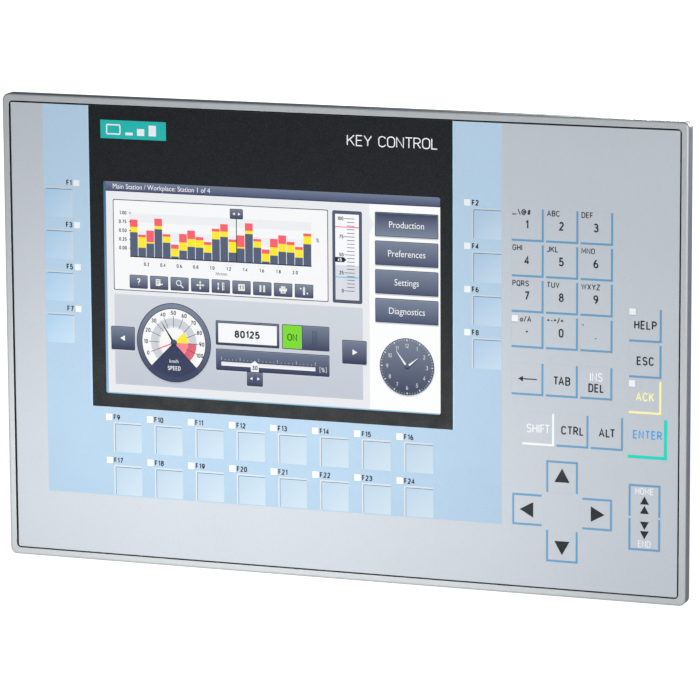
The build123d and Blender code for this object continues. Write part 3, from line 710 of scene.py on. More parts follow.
def word_mesh(words, align, bold):
    """Words as a closed mesh at size 1, one unit thick, on their baseline."""
    key = (words, align, bold)
    if key not in word_meshes:
        curve = bpy.data.curves.new("words", "FONT")
        curve.body = words
        curve.size = 1.0
        curve.align_x = align
        curve.extrude = 0.5
        curve.offset = bold
        curve.resolution_u = 3
        holder = bpy.data.objects.new("words", curve)
        bpy.context.scene.collection.objects.link(holder)
        depsgraph = bpy.context.evaluated_depsgraph_get()
        word_meshes[key] = bpy.data.meshes.new_from_object(holder.evaluated_get(depsgraph))
        bpy.data.objects.remove(holder)
        bpy.data.curves.remove(curve)
    return word_meshes[key]


def blend(first, last, share):
    """A colour between two colours."""
    share = min(1.0, max(0.0, share))
    return tuple(a + (b - a) * share for a, b in zip(first, last))


def fade(top, bottom, y_top, y_bottom):
    """A tint that runs from one colour at y_top to another at y_bottom."""
    return lambda x, y: blend(top, bottom, (y - y_top) / (y_bottom - y_top))


def diagonal(first, last, x0, y0, x1, y1):
    """A tint that runs from one corner to the opposite one."""
    return lambda x, y: blend(first, last, ((x - x0) / (x1 - x0) + (y - y0) / (y1 - y0)) / 2)


# ---- Keys ----
def cap_of(name):
    """A key cap's left, right, low and high edges, in millimetres."""
    low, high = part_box(name)
    return low.x / MM, high.x / MM, low.z / MM, high.z / MM


def front_of(name):
    """The y of a node's front, in millimetres."""
    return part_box(name)[0].y / MM


def skirt(name, cells, material):
    """The foil that bridges the gap round a key's cap, as thin rings that move with it."""
    ring = Print("skirt_" + name, (0, front_of(name) + SKIRT_DEPTH, 0), FRONT)
    for left, right, low, high in cells:
        outer = [(left - SKIRT, low - SKIRT), (right + SKIRT, low - SKIRT),
                 (right + SKIRT, high + SKIRT), (left - SKIRT, high + SKIRT)]
        inner = [(left, low), (right, low), (right, high), (left, high)]
        ring.band(outer, inner, WHITE, 0, SKIRT_DEPTH)
    ring.build(name, material)


def key_skirts():
    """A skirt for each key."""
    for name in nodes:
        if name.startswith("key_") and name != "key_board":
            skirt(name, [cap_of(name)], materials["key_caps"])
    for name in FUNCTION_GROUPS:
        skirt(name, function_cells(name), materials["function_caps"])


NUMBER_LEGENDS = {
    "key_1": ("_.\\@#", "1"),
    "key_2": ("ABC", "2"),
    "key_3": ("DEF", "3"),
    "key_4": ("GHI", "4"),
    "key_5": ("JKL", "5"),
    "key_6": ("MNO", "6"),
    "key_7": ("PQRS", "7"),
    "key_8": ("TUV", "8"),
    "key_9": ("WXYZ", "9"),
    "key_case_minus": ("a/A", "-"),
    "key_0": ("+-*/=", "0"),
    "key_point": (".,", "."),
}
WORD_LEGENDS = {
    "key_tab": ("TAB", LEGEND),
    "key_ctrl": ("CTRL", LEGEND),
    "key_alt": ("ALT", LEGEND),
    "key_shift": ("SHIFT", SHIFT_WHITE),
    "key_help": ("HELP", LEGEND),
    "key_escape": ("ESC", LEGEND),
    "key_acknowledge": ("ACK", PALE_YELLOW),
    "key_enter": ("ENTER", ENTER_BLUE),
}
WORD_WEIGHTS = {"key_shift": 0.12, "key_acknowledge": 0.15}
CORNER_LINES = {"key_shift": SHIFT_WHITE, "key_acknowledge": PALE_YELLOW, "key_enter": TEAL}
# The widths of the keys' lines, the heights of digits and words and of small letters, and how far the middle of a
# word lies below its key's upper edge.
LINE = 0.9
ENTER_LINE = 1.4
DIGIT_CAP = 3.75
LETTER_CAP = 2.5
WORD_DROP = 6.8


def corner_line(legend, cell, tint=KEY_LINE, width=LINE):
    """The line along a key's right and bottom edges."""
    left, right, low, high = cell
    legend.rect(right - width, low, right, high, tint)
    legend.rect(left, low, right - width, low + width, tint)


def number_key(legend, name):
    """Letters in the corner and a digit in the middle."""
    letters, digit = NUMBER_LEGENDS[name]
    left, _, _, high = cap_of(name)
    corner_line(legend, cap_of(name))
    start = left + 3.6 if name == "key_case_minus" else left + 0.3
    legend.letters(letters, start, high - 1.4, LETTER_CAP, LEGEND, align="LEFT", weight=0.16, narrow=1.14)
    legend.letters(digit, left + 6.65, high - 6.6, DIGIT_CAP, LEGEND, weight=0.17)


def word_key(legend, name):
    """A word, with a corner line that may have a colour of its own."""
    word, tint = WORD_LEGENDS[name]
    left, right, _, high = cap_of(name)
    width = ENTER_LINE if name == "key_enter" else LINE
    corner_line(legend, cap_of(name), CORNER_LINES.get(name, KEY_LINE), width)
    legend.letters(word, (left + right) / 2, high - WORD_DROP, DIGIT_CAP, tint,
                   weight=WORD_WEIGHTS.get(name, 0.165), narrow=1.05)


def backspace_key(legend, name):
    """A long arrow to the left."""
    left, right, _, high = cap_of(name)
    corner_line(legend, cap_of(name))
    x, z = (left + right) / 2, high - WORD_DROP
    legend.line((x - 2.6, z), (x + 4.1, z), 0.5, LEGEND)
    legend.shape([(x - 4.2, z), (x - 2.0, z - 1.2), (x - 2.0, z + 1.2)], LEGEND)


def insert_key(legend, name):
    """Insert over delete."""
    left, right, _, high = cap_of(name)
    corner_line(legend, cap_of(name))
    legend.letters("INS", (left + right) / 2, high - 4.2, 3.7, SHIFT_WHITE, weight=0.12)
    legend.letters("DEL", (left + right) / 2, high - 8.9, 3.7, LEGEND, weight=0.165)


def open_frame(legend, cell, open_side):
    """Lines along three sides of a key."""
    left, right, low, high = cell
    sides = {
        "left": (left, low, left + LINE, high),
        "right": (right - LINE, low, right, high),
        "low": (left + LINE, low, right - LINE, low + LINE),
        "high": (left + LINE, high - LINE, right - LINE, high),
    }
    for side, rectangle in sides.items():
        if side != open_side:
            legend.rect(*rectangle, KEY_LINE)


# The cursor keys' open sides, which face the middle of their cross, and their arrows' headings.
CURSOR_WAYS = {
    "key_up": ("low", 0),
    "key_right": ("left", 90),
    "key_down": ("high", 180),
    "key_left": ("right", 270),
}


def cursor_key(legend, name):
    """An arrow in a frame that is open towards the middle of the cross."""
    open_side, heading = CURSOR_WAYS[name]
    left, right, low, high = cap_of(name)
    open_frame(legend, cap_of(name), open_side)
    legend.triangle(((left + right) / 2, (low + high) / 2), 6.6, heading, LEGEND)


# The page keys' words, open sides, outward directions and arrows' headings.
PAGE_WAYS = {"key_home": ("HOME", "low", 1, 0), "key_end": ("END", "high", -1, 180)}


def page_key(legend, name):
    """A word and two arrowheads."""
    word, open_side, way, heading = PAGE_WAYS[name]
    left, right, low, high = cap_of(name)
    open_frame(legend, cap_of(name), open_side)
    x = (left + right) / 2
    outer = high if way > 0 else low
    legend.letters(word, x, outer - way * 2.9, 2.9, SHIFT_WHITE, weight=0.12)
    for step in (7.1, 11.1):
        legend.triangle((x, outer - way * step), 3.8, heading, LEGEND)


FUNCTION_GROUPS = {
    "function_keys_left": (4, "column"),
    "function_keys_right": (4, "column"),
    "function_keys_upper_row": (8, "row"),
    "function_keys_lower_row": (8, "row"),
}


def function_cells(name):
    """The caps of one group of function keys."""
    count, way = FUNCTION_GROUPS[name]
    left, right, low, high = cap_of(name)
    side = right - left if way == "column" else high - low
    cells = []
    for i in range(count):
        if way == "column":
            top = high - (high - low - side) / (count - 1) * i
            cells.append((left, right, top - side, top))
        else:
            start = left + (right - left - side) / (count - 1) * i
            cells.append((start, start + side, low, high))
    return cells


# The colours of the function keys' windows at their upper left and lower right corners, a painted shading that is
# darker at the upper left.
PANES = {
    "function_keys_left": (rgb(158, 193, 222), rgb(184, 207, 226)),
    "function_keys_right": (rgb(158, 188, 216), rgb(188, 207, 223)),
    "function_keys_upper_row": (rgb(166, 188, 206), rgb(184, 201, 213)),
    "function_keys_lower_row": (rgb(166, 188, 206), rgb(184, 201, 213)),
}


def function_windows(window, name):
    """The label windows of a group: blue panes with painted shading from the upper left to the lower right, and
    pale lines on two sides.
    """
    for left, right, low, high in function_cells(name):
        # Painted shading across each pane, darker at the upper left.
        painted_pane_shading = diagonal(*PANES[name], left, high, right, low)
        window.rect(left + 0.2, low + 0.2, right - 0.2, high - 0.2, painted_pane_shading)
        window.rect(left + 0.9, high - 1.15, right - 0.3, high - 0.85, KEY_LINE_DARK, 1)
        window.rect(left + 0.2, high - 0.85, right - 0.2, high - 0.1, PALE_LINE, 1)
        if name == "function_keys_left":
            window.rect(right - 0.85, low + 0.1, right - 0.1, high - 0.85, PALE_LINE, 1)
        else:
            window.rect(left + 0.1, low + 0.1, left + 0.85, high - 0.85, PALE_LINE, 1)
            window.rect(left + 0.85, low + 0.3, left + 1.1, high - 1.15, KEY_LINE_DARK, 1)


def key_legends():
    """What is printed on the keys."""
    groups = ((NUMBER_LEGENDS, number_key), (WORD_LEGENDS, word_key), (["key_backspace"], backspace_key),
              (["key_insert"], insert_key), (CURSOR_WAYS, cursor_key), (PAGE_WAYS, page_key),
              (FUNCTION_GROUPS, function_windows))
    for names, draw in groups:
        for name in names:
            legend = Print("legend_" + name, (0, front_of(name), 0), FRONT)
            draw(legend, name)
            legend.build(name, materials["ink"])


def foil_labels():
    """What is printed on the foil: the function keys' numbers, the field's edges, a badge and the title."""
    labels = Print("foil_labels", (0, front_of("overlay_foil"), 0), FRONT)
    numbers = {"function_keys_left": range(1, 9, 2), "function_keys_right": range(2, 9, 2),
               "function_keys_upper_row": range(9, 17), "function_keys_lower_row": range(17, 25)}
    for name, group in numbers.items():
        for number, (left, right, _, high) in zip(group, function_cells(name)):
            x, align = (right - 0.4, "RIGHT") if name == "function_keys_left" else (left + 0.2, "LEFT")
            labels.letters(f"F{number}", x, high + 1.95, LETTER_CAP - 0.05, LEGEND, align=align, weight=0.2)
    for x in BLACK_FIELD[:2]:
        labels.rect(x - 0.25, BLACK_FIELD[2], x + 0.25, 98.3, BORDER_BLUE)
    labels.rect(-108.2, 84.3, -77.8, 92.3, BADGE)
    labels.edge(-105.6, 86.0, -98.8, 90.6, 0.6, 0.8, SHIFT_WHITE, 1)
    for i in range(3):
        labels.rect(-96.6 + 5.4 * i, 86.0, -93.2 + 5.4 * i, 87.2 + 1.7 * i, SHIFT_WHITE, 1)
    labels.letters("KEY CONTROL", 4.5, 88.2, 4.7, WHITE, align="LEFT", weight=0.09, narrow=1.35)
    labels.build("panel", materials["ink"])


# ---- Rear side ----
PLATE_RECESS = 0.5
PLATE_MIDDLE = -6.0
BARS_LEFT = -43.0
BAR_PITCH = 1.15
PORT_WORDS = {
    "power_socket": ("DC 24V",),
    "earth_stud": ("PE",),
    "network_sockets": ("LAN 1", "LAN 2"),
    "serial_socket": ("COM",),
    "usb_sockets": ("USB 1", "USB 2"),
    "audio_jack": ("LINE",),
}


def rating_plate():
    """The silver plate in the rear cover's recess: supply data, a connection sketch and code bars."""
    plate = Print("rating_plate", (0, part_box("rear_cover")[1].y / MM - PLATE_RECESS, PLATE_MIDDLE), REAR)
    plate.round_rect(-46.8, -21.8, 46.8, 21.8, 1.4, PLATE_SILVER)
    plate.rect(-44.0, 11.5, 44.0, 19.0, PLATE_INK, 1)
    plate.letters("OPERATOR PANEL", -41.5, 15.25, 3.6, PLATE_SILVER, 2, align="LEFT")
    for z, words in ((6.0, "DC 24V  0.8A"), (0.6, "IP 65 FRONT"), (-4.8, "0-50 C")):
        plate.letters(words, BARS_LEFT, z, 2.7, PLATE_INK, 1, align="LEFT")
    for i in range(44):
        wide = (0.35, 0.8, 0.5)[(i * i + i) % 3]
        left = BARS_LEFT + BAR_PITCH * i
        plate.rect(left, -19.0, left + wide, -11.0, PLATE_INK, 1)
    for i, mark in enumerate("+-"):
        plate.ring((18.0 + 9 * i, 1.0), 2.6, 2.2, PLATE_INK, 1)
        plate.letters(mark, 18.0 + 9 * i, 1.0, 3.0, PLATE_INK, 1)
    earth_x, earth_z = 36.0, 0.6
    plate.line((earth_x, 4.0), (earth_x, earth_z), 0.4, PLATE_INK, 1)
    for i in range(3):
        half, z = 2.6 - 0.8 * i, earth_z - 1.1 * i
        plate.line((earth_x - half, z), (earth_x + half, z), 0.4, PLATE_INK, 1)
    plate.edge(11.0, -7.0, 43.0, 8.5, 0.3, 0.8, PLATE_INK, 1)
    plate.build("panel", materials["ink"])


def port_words():
    """The names of the sockets, on the rear face above the ledge that holds them."""
    low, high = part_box("rear_cover")
    names = Print("port_words", (0, high.y / MM, low.z / MM + 5.6), REAR)
    for node, words in PORT_WORDS.items():
        left, right = (corner.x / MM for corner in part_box(node))
        for i, word in enumerate(words):
            x = left + (right - left) * (i + 0.5) / len(words)
            names.letters(word, -x, 0, 2.4, PORT_WHITE)
            names.triangle((-x, -2.6), 1.5, 180, PORT_WHITE)
    names.build("panel", materials["ink"])


# ---- The picture on the display ----
# The picture's units across and down, and the size in millimetres that they fill.
SCREEN_UNITS = (800, 480)
SCREEN_SIZE = (153.5, 93.0)


def shade_under(print_, x0, y0, x1, y1, layer):
    """A faint shadow below a raised control."""
    for grow, tint in ((3.0, rgb(214, 217, 222)), (1.8, rgb(190, 194, 202))):
        print_.round_rect(x0 - grow * 0.4, y0, x1 + grow * 0.4, y1 + grow, 3.0, tint, layer)


def button(print_, x0, y0, x1, y1, top=SLATE_LIGHT, bottom=SLATE_DARK, layer=2):
    """A raised control: a dark edge, a shaded face and a bright line inside the edge."""
    print_.round_rect(x0, y0, x1, y1, 2.6, NAVY, layer)
    print_.round_rect(x0 + 1.3, y0 + 1.3, x1 - 1.3, y1 - 1.3, 1.8, fade(top, bottom, y0, y1), layer + 1)
    bright = fade(rgb(150, 160, 178), bottom, y0, y1)
    print_.edge(x0 + 1.6, y0 + 1.6, x1 - 1.6, y1 - 1.6, 0.7, 1.6, bright, layer + 2)


def raised(print_, x0, y0, x1, y1, *colours):
    """A button with its shadow."""
    shade_under(print_, x0, y0, x1, y1, 2)
    button(print_, x0, y0, x1, y1, *colours, layer=4)


def label(print_, words, x, y, cap, layer=5, **style):
    """Pale words with a dark edge below them."""
    print_.text(words, x + 0.5, y + 0.9, cap, NAVY, layer, **style)
    print_.text(words, x, y, cap, WHITE, layer + 1, **style)


def screen_ground(ground):
    """The background, the title bar, the right-hand column and the window's blue edge, a painted reflection of
    the window's recess wall along the left and bottom.
    """
    ground.rect(-1, -1, 801, 481, rgb(236, 238, 241))
    ground.rect(633, 22, 801, 481, rgb(255, 255, 255), 1)
    ground.rect(-1, -1, 801, 22.5, fade(rgb(118, 128, 152), rgb(70, 79, 112), 0, 22.5), 1)
    ground.rect(-1, 20.9, 801, 22.5, NAVY, 2)
    label(ground, "Main Station / Workplace: Station 1 of 4", 21, 11.2, 10.8, 3, align="LEFT", narrow=0.92)
    ground.shape([(633, 22), (633, 92), (644, 66), (633, 44)], rgb(240, 242, 244), 2)
    ground.rect(21.7, 253.9, 616.7, 458.7, fade(rgb(212, 217, 225), rgb(198, 204, 215), 254, 459), 1)
    # Painted reflection of the window's recess wall: blue strips along the picture's left and bottom edges.
    ground.rect(-1, -1, 4.9, 481, fade(rgb(62, 104, 130), rgb(146, 190, 222), 0, 470), 6)
    ground.rect(4.9, 478.0, 801, 481, rgb(150, 196, 226), 6)


# The levels of the slate, yellow and red parts of each bar, in the chart's own units.
STACKS = [
    (0.71, 0.86, 1.07), (0.28, 0.58, 0.65), (0.41, 0.45, 0.78), (0.83, 0.92, 1.13), (0.46, 0.63, 0.70),
    (0.08, 0.30, 0.42), (0.26, 0.49, 0.73), (0.38, 0.60, 0.84), (0.37, 0.58, 0.67), (0.24, 0.46, 0.54),
    (0.63, 0.85, 0.93),
]
CHART_UNIT = 79.1
CHART_BASE = 168.8
CHART_ZERO = 149.0
CHART_LEFT = 61.7
CHART_RIGHT = 497
BARS = 22
SMALL_CAP = 8.2
SMALL_WEIGHT = 0.19


def screen_chart(chart):
    """The stacked bar chart with its scales and marker."""
    chart.round_rect(21.3, 40.2, 536.3, 244.9, 3, rgb(58, 66, 92), 1)
    chart.round_rect(23.1, 42.0, 534.5, 243.1, 2.4, rgb(250, 250, 251), 2)
    chart.rect(62, 60, 63.0, CHART_BASE, rgb(205, 210, 216), 3)
    for level in (1.0, 0.5):
        y = CHART_ZERO - level * CHART_UNIT
        chart.rect(63, y, CHART_RIGHT, y + 19.8, rgb(240, 242, 244), 3)
    pitch = (CHART_RIGHT - CHART_LEFT) / BARS
    for i in range(BARS):
        left = CHART_LEFT + pitch * i
        low = CHART_BASE
        for level, tint in zip(STACKS[i % len(STACKS)], (rgb(86, 97, 122), YELLOW, RED)):
            high = CHART_BASE - level * CHART_UNIT
            chart.rect(left + 0.5, high, left + pitch - 0.7, low, tint, 4)
            low = high
    chart.rect(CHART_LEFT, CHART_BASE - 2.4, CHART_RIGHT, CHART_BASE, NAVY, 5)
    for level in (1.0, 0.75, 0.5, 0.25, 0.0):
        y = CHART_ZERO - level * CHART_UNIT
        chart.letters(f"{level:.2f}", 54, y, SMALL_CAP, SCREEN_INK, 3, align="RIGHT", weight=SMALL_WEIGHT)
        chart.rect(60, y - 0.8, 65, y + 0.8, SCREEN_INK, 5)
    for i in range(10):
        x = 101.6 + 39.57 * i
        chart.rect(x - 10, CHART_BASE + 3, x + 10, CHART_BASE + 8, rgb(242, 245, 247), 3)
        chart.letters(f"{0.2 * (i + 1):.1f}", x, 183.4, SMALL_CAP, SCREEN_INK, 4, weight=SMALL_WEIGHT)
    chart.text("hh:mm", 282, 195.5, 7.0, rgb(120, 132, 152), 3, bold=0.015)
    chart.letters("%", 511.6, 109.4, 9.8, rgb(110, 120, 140), 3, weight=0.12)
    chart.rect(317.9, 60.4, 319.9, CHART_BASE, rgb(36, 42, 56), 6)
    button(chart, 303.5, 48.6, 334.8, 71.4, layer=6)
    chart.triangle((313.3, 60), 6.4, 270, WHITE, 9)
    chart.triangle((325.2, 60), 6.4, 90, WHITE, 9)


def icon_row(icons):
    """The nine tool buttons under the chart."""
    centres = [81.6 + 49.62 * i for i in range(9)]
    y = 223.6
    for x in centres:
        button(icons, x - 22, y - 15, x + 22, y + 15.4, rgb(132, 141, 160), rgb(62, 71, 100), 3)
    help_, page, lens, move, scale, one, pause, printer, gauge = centres
    tint, layer = SCREEN_TEXT, 6
    icons.letters("?", help_, y, 16.0, tint, layer, weight=SMALL_WEIGHT)
    icons.rect(page - 8, y - 8, page + 3, y + 7, tint, layer)
    for i in range(3):
        icons.rect(page - 6, y - 5.5 + 3.6 * i, page + 1, y - 4.3 + 3.6 * i, SLATE, layer + 1)
    icons.rect(page, y + 2, page + 9, y + 4.4, WHITE, layer + 2)
    icons.triangle((page + 1, y + 3.2), 7, 270, WHITE, layer + 2)
    icons.ring((lens - 2, y - 2), 6.6, 4.6, tint, layer)
    icons.line((lens + 2.6, y + 2.6), (lens + 9, y + 8.6), 2.6, tint, layer)
    for heading in range(0, 360, 90):
        tip = icons.polar((move, y), heading, 7.4)
        icons.line((move, y), tip, 2.2, tint, layer)
        icons.triangle(tip, 5.4, heading, tint, layer + 1)
    icons.line((scale - 6, y - 5), (scale - 6, y + 5), 2.0, tint, layer)
    icons.triangle((scale - 6, y - 6), 5.4, 0, tint, layer + 1)
    icons.triangle((scale - 6, y + 6), 5.4, 180, tint, layer + 1)
    icons.rect(scale + 3, y - 9, scale + 5.4, y + 9, tint, layer)
    for i in range(5):
        icons.rect(scale + 5.4, y - 8 + 3.6 * i, scale + 9, y - 6.6 + 3.6 * i, tint, layer)
    icons.rect(one - 8, y - 7.6, one + 8, y + 7.6, tint, layer)
    icons.letters("1.1", one, y, 8.4, SCREEN_INK, layer + 1, weight=SMALL_WEIGHT)
    for x in (pause - 4.4, pause + 4.4):
        icons.rect(x - 2.2, y - 7.6, x + 2.2, y + 7.6, tint, layer)
    icons.rect(printer - 5.4, y - 8, printer + 5.4, y - 4.4, tint, layer)
    icons.round_rect(printer - 9, y - 3.6, printer + 9, y + 3.4, 1.2, tint, layer)
    icons.rect(printer - 5.8, y + 0.6, printer + 5.8, y + 8, WHITE, layer + 1)
    for i in range(2):
        icons.rect(printer - 4, y + 2.8 + 2.6 * i, printer + 4, y + 3.8 + 2.6 * i, SLATE, layer + 2)
    icons.round_rect(gauge - 2.4, y - 9, gauge + 2.4, y + 9, 2.2, tint, layer)
    icons.triangle((gauge - 7.6, y - 5), 5, 90, tint, layer)
    icons.triangle((gauge + 7.6, y + 5), 5, 270, tint, layer)


def column_gauge(gauge):
    """The upright scale beside the chart."""
    gauge.round_rect(546.3, 40.6, 615.8, 245.3, 4, NAVY, 1)
    gauge.round_rect(547.6, 41.9, 614.5, 244.0, 3, SLATE, 2)
    gauge.rect(551.8, 46.6, 610.2, 239.4, NAVY, 3)
    gauge.rect(553.0, 48.0, 609.0, 238.2, WHITE, 4)
    gauge.rect(553.0, 161.0, 609.0, 238.2, rgb(222, 225, 232), 5)
    zero, percent = 217.8, 1.6
    for i in range(21):
        y = zero - percent * 5 * i
        major = i % 5 == 0
        gauge.rect(574 if major else 580.5, y - 0.7, 598.5, y + 0.7, rgb(70, 76, 88), 6)
        if major:
            gauge.letters(str(5 * i), 572.5, y, SMALL_CAP, SCREEN_INK, 6, align="RIGHT", weight=SMALL_WEIGHT)
    gauge.rect(552.4, 75.6, 609.6, 77.6, RED, 7)
    gauge.rect(552.4, 186.8, 609.6, 188.9, rgb(56, 196, 236), 7)
    gauge.shape([(552, 143.5), (573, 143.5), (579, 149), (573, 154.5), (552, 154.5)], rgb(24, 30, 44), 7)
    gauge.letters("45", 563.5, 149, 7.4, WHITE, 8, weight=SMALL_WEIGHT)


def menu_buttons(menu):
    """The four large buttons at the right."""
    words = ("Production", "Preferences", "Settings", "Diagnostics")
    for i, word in enumerate(words):
        top = 38.9 + 63.4 * i
        colours = (SLATE_DARK, rgb(128, 138, 158)) if i == 0 else (rgb(126, 136, 156), rgb(74, 83, 110))
        raised(menu, 646.6, top, 793.4, top + 53.6, *colours)
        label(menu, word, 720, top + 27, 14.2, 7, narrow=0.9)


# Degrees for each unit of the dial.
DIAL_STEP = 2.25


def dial(gauge):
    """The round gauge with its yellow and red ranges and two needles."""
    centre = (165.0, 357.2)

    def spoke(angle, inner, outer, width, tint, layer, **taper):
        """A line outwards from the dial's middle."""
        start, end = (gauge.polar(centre, angle, radius) for radius in (inner, outer))
        gauge.line(start, end, width, tint, layer, **taper)

    gauge.disc((centre[0], centre[1] + 2.4), 91.0, rgb(188, 194, 205), 2)
    gauge.disc(centre, 89.6, NAVY, 3)
    gauge.disc(centre, 88.0, fade(rgb(128, 138, 157), rgb(50, 58, 86), 268, 446), 4)
    gauge.disc(centre, 77.6, NAVY, 5)
    gauge.disc(centre, 76.2, rgb(252, 252, 252), 6)
    gauge.sector(centre, 34, 56, -135, 90, rgb(226, 229, 234), 7)
    gauge.sector(centre, 0, 34.6, -135, 135, rgb(250, 250, 250), 8)
    for i in range(-9, 90):
        if i % 10:
            spoke((i - 50) * DIAL_STEP, 38, 55, 0.6, rgb(168, 174, 184), 8)
    gauge.sector(centre, 0, 34.6, 45, 90, rgb(255, 236, 60), 9)
    gauge.sector(centre, 0, 34.6, 90, 135, rgb(255, 138, 150), 9)
    gauge.sector(centre, 34.6, 55, 90, 135, rgb(238, 116, 130), 9)
    for i in range(91, 110):
        spoke((i - 50) * DIAL_STEP, 35, 54.6, 0.5, rgb(190, 60, 80), 10)
    for i in range(11):
        angle = (i - 5) * 10 * DIAL_STEP
        spoke(angle, 34, 60, 1.2, SCREEN_INK, 11)
        x, y = gauge.polar(centre, angle, 67.5)
        gauge.letters(str(10 * i), x, y, 9.6, SCREEN_INK, 11, weight=0.18)
    gauge.sector(centre, 0, 77.6, 135, 225, rgb(52, 60, 90), 11)
    gauge.sector(centre, 77.0, 88.0, 135, 225, rgb(60, 69, 98), 12)
    for angle in (135, 225):
        spoke(angle, 4, 76, 1.0, NAVY, 12)
    gauge.text("km/h", centre[0], centre[1] + 41.5, 7.8, WHITE, 13)
    gauge.letters("SPEED", centre[0], centre[1] + 57.5, 9.6, WHITE, 13, weight=0.15)
    spoke(-112.5, 6, 41.5, 2.4, rgb(250, 76, 84), 13)
    spoke(-33, 0, 58, 5.6, rgb(20, 24, 34), 14, end_width=0.6)
    gauge.disc(centre, 7.6, NAVY, 15, 32)
    gauge.disc(centre, 6.2, fade(rgb(84, 94, 120), rgb(44, 52, 80), 351, 363), 16, 32)


def value_and_switch(field):
    """The value field, the switch and the slider."""
    shade_under(field, 266.7, 300.4, 418.7, 355.4, 2)
    field.round_rect(266.7, 300.4, 418.7, 355.4, 2.6, NAVY, 4)
    field.round_rect(268.1, 301.8, 417.3, 354.0, 2, fade(SLATE_LIGHT, SLATE_DARK, 300, 355), 5)
    field.rect(271.6, 304.6, 414.0, 350.8, rgb(50, 58, 84), 6)
    field.rect(272.8, 306.0, 413.0, 349.6, WHITE, 7)
    field.letters("80125", 342, 329, 17.0, rgb(30, 35, 56), 8, weight=0.22, narrow=1.2)
    raised(field, 425.6, 300.4, 537.7, 355.4)
    field.rect(427.2, 302.2, 472.4, 353.6, rgb(128, 222, 44), 7)
    field.rect(472.4, 301.8, 474.2, 354.0, rgb(74, 60, 150), 7)
    field.letters("ON", 449.6, 328.5, 16.0, rgb(30, 48, 40), 8, weight=0.13, narrow=1.15)
    for i in range(4):
        field.rect(497 + 3.7 * i, 311, 498.1 + 3.7 * i, 344, SLATE_DARK, 7)
    raised(field, 266.7, 364.0, 537.7, 412.2, rgb(112, 122, 144), rgb(50, 58, 90))
    field.rect(278.2, 391.2, 505.5, 402.6, NAVY, 7)
    field.rect(279.4, 392.6, 504.3, 401.6, fade(rgb(222, 224, 230), WHITE, 392, 399), 8)
    for i in range(26):
        x = 279.8 + 8.96 * i
        tall = i % 5 == 0
        field.rect(x - 0.6, 381.8 if tall else 386.6, x + 0.6, 389, rgb(196, 200, 208), 7)
    field.letters("[%]", 522.5, 397.5, 11.0, rgb(206, 210, 216), 7, weight=0.12)
    handle = [(350.2, 411.5), (350.2, 394), (359.6, 387), (369.0, 394), (369.0, 411.5)]
    field.shape(handle, WHITE, 9)
    field.letters("30", 359.6, 402.6, 10.2, rgb(24, 28, 44), 10, weight=0.18)
    shade_under(field, 340.5, 413.1, 378.7, 444, 2)
    button(field, 340.5, 411.8, 378.7, 444, rgb(108, 118, 140), rgb(48, 56, 86), 4)
    for x, heading in ((351.6, 270), (367.8, 90)):
        field.triangle((x, 427), 6.8, heading, WHITE, 8)
    for x in (357.6, 359.7, 361.8):
        field.rect(x - 0.4, 419, x + 0.4, 435, SLATE_DARK, 8)


def step_buttons(steps):
    """The two buttons that step sideways through the gauges."""
    for x0, heading in ((13.0, 270), (568.0, 90)):
        raised(steps, x0, 327, x0 + 57.4, 380, rgb(120, 130, 152), rgb(48, 56, 86))
        steps.triangle((x0 + 28.7, 353.5), 12.5, heading, WHITE, 8)


def clock(face):
    """The round clock."""
    centre, radius = (720.0, 378.6), 63.4
    face.disc((centre[0], centre[1] + 2.2), radius + 1.2, rgb(214, 217, 223), 2)
    face.disc(centre, radius, NAVY, 3)
    face.disc(centre, radius - 1.5, fade(rgb(122, 132, 151), rgb(58, 67, 94), 316, 441), 4)
    for i in range(60):
        inner, width = (0.90, 2.2) if i % 5 == 0 else (0.93, 1.1)
        start = face.polar(centre, 6 * i, radius * inner)
        face.line(start, face.polar(centre, 6 * i, radius * 0.97), width, rgb(226, 229, 234), 5)
    for hour in range(1, 13):
        x, y = face.polar(centre, 30 * hour, radius * 0.735)
        face.letters(str(hour), x, y, 9.2, rgb(220, 218, 208), 5, weight=0.13)
    for angle, length in ((-36.3, 0.69), (51.8, 0.51)):
        tip = face.polar(centre, angle, radius * length)
        shadow = [(x + 1, y + 1.6) for x, y in (centre, tip)]
        face.line(*shadow, 7.4, rgb(52, 60, 86), 6, end_width=1.0)
        face.line(centre, tip, 5.2, WHITE, 7, end_width=0.8)
    face.disc(centre, 5.8, rgb(36, 44, 70), 8, 32)
    face.disc(centre, 4.6, fade(rgb(110, 120, 142), rgb(50, 58, 84), 374, 383), 9, 32)


PICTURE_PARTS = {
    "picture_ground": screen_ground,
    "picture_chart": screen_chart,
    "picture_tools": icon_row,
    "picture_scale": column_gauge,
    "picture_menu": menu_buttons,
    "picture_dial": dial,
    "picture_controls": value_and_switch,
    "picture_steps": step_buttons,
    "picture_clock": clock,
}


def screen_picture():
    """Draws the picture's parts, in its own units from the window's top left corner."""
    low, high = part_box("display_frame")
    width, height = SCREEN_SIZE
    x, z = (low.x + high.x) / 2 / MM, (low.z + high.z) / 2 / MM
    corner = (x - width / 2, low.y / MM - 0.004, z + height / 2)
    size = (width / SCREEN_UNITS[0], height / SCREEN_UNITS[1])
    for name, draw in PICTURE_PARTS.items():
        part = Print(name, corner, FRONT, size, flip=True, step=PICTURE_LAYER)
        draw(part)
        part.build("panel", materials["picture"])


# ---- Studio ----
def area_light(name, place, aim, size, power, colour=(1, 1, 1)):
    """A soft light, so wide and high, turned to a point."""
    lamp = bpy.data.lights.new(name, "AREA")
    lamp.shape = "RECTANGLE"
    lamp.size, lamp.size_y = size
    lamp.energy = power
    lamp.color = colour
    holder = bpy.data.objects.new(name, lamp)
    holder.location = place
    holder.rotation_euler = (Vector(aim) - Vector(place)).to_track_quat("-Z", "Y").to_euler()
    holder.visible_camera = False
    bpy.context.scene.collection.objects.link(holder)


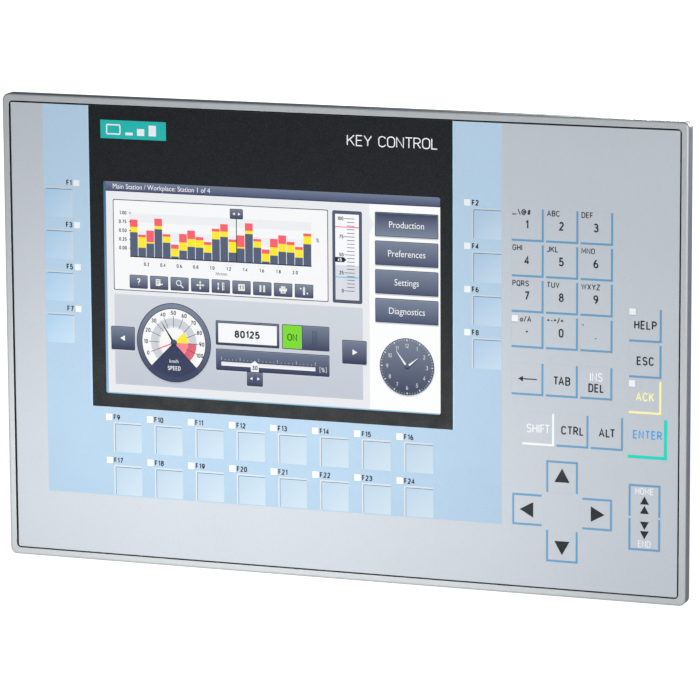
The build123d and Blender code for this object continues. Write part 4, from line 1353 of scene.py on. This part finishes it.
def studio():
    """A pale floor, a dim sky and soft lights."""
    scene = bpy.context.scene
    scene.view_settings.view_transform = "Standard"
    world = bpy.data.worlds.new("studio_sky")
    world.use_nodes = True
    sky = world.node_tree.nodes["Background"].inputs
    sky["Color"].default_value = (0.86, 0.92, 1.0, 1.0)
    sky["Strength"].default_value = 0.15
    scene.world = world
    area_light("front_light", (0.7, -0.9, 0.15), (0, 0, 0), (0.6, 0.6), 8.8)
    area_light("low_light", (-0.08, -0.2, -0.086), (-0.08, 0, -0.04), (0.3, 0.02), 0.4, (1.0, 0.98, 0.95))
    area_light("rear_light", (0.2, 1.9, 0.35), (0, 0, 0), (1.4, 0.5), 32)
    floor_paint = Surface("floor_paint", Specular_IOR_Level=0.0)
    floor_paint.set("Base Color", tinted(floor_paint, rgb(150, 150, 150), 0.02, 400.0))
    floor_paint.set("Roughness", floor_paint.span(floor_paint.noise(60.0), 0.3, 0.7, 0.85, 0.95))
    floor_paint.set("Emission Color", rgb(255, 255, 255))
    seen = floor_paint.node("LightPath").outputs["Is Camera Ray"]
    floor_paint.set("Emission Strength", floor_paint.span(seen, 0.0, 1.0, 0.25, 0.98))
    mesh = bpy.data.meshes.new("floor")
    reach, level = 14.0, cad_box[0].z
    corners = [(-reach, -reach, level), (reach, -reach, level), (reach, reach, level), (-reach, reach, level)]
    mesh.from_pydata(corners, [], [(0, 1, 2, 3)])
    mesh.materials.append(floor_paint.material)
    floor = bpy.data.objects.new("floor", mesh)
    scene.collection.objects.link(floor)


def camera():
    """A long lens from the front right, a little above."""
    lens = bpy.data.cameras.new("camera")
    lens.lens = 234.98
    lens.sensor_width = 36.0
    lens.clip_start, lens.clip_end = 0.05, 60.0
    holder = bpy.data.objects.new("camera", lens)
    holder.location = (0.6609, -1.7969, 0.3546)
    holder.rotation_euler = [math.radians(a) for a in (79.42, 0.313, 20.04)]
    bpy.context.scene.collection.objects.link(holder)
    bpy.context.scene.camera = holder


dress_nodes()
key_skirts()
key_legends()
foil_labels()
rating_plate()
port_words()
screen_picture()
studio()
camera()
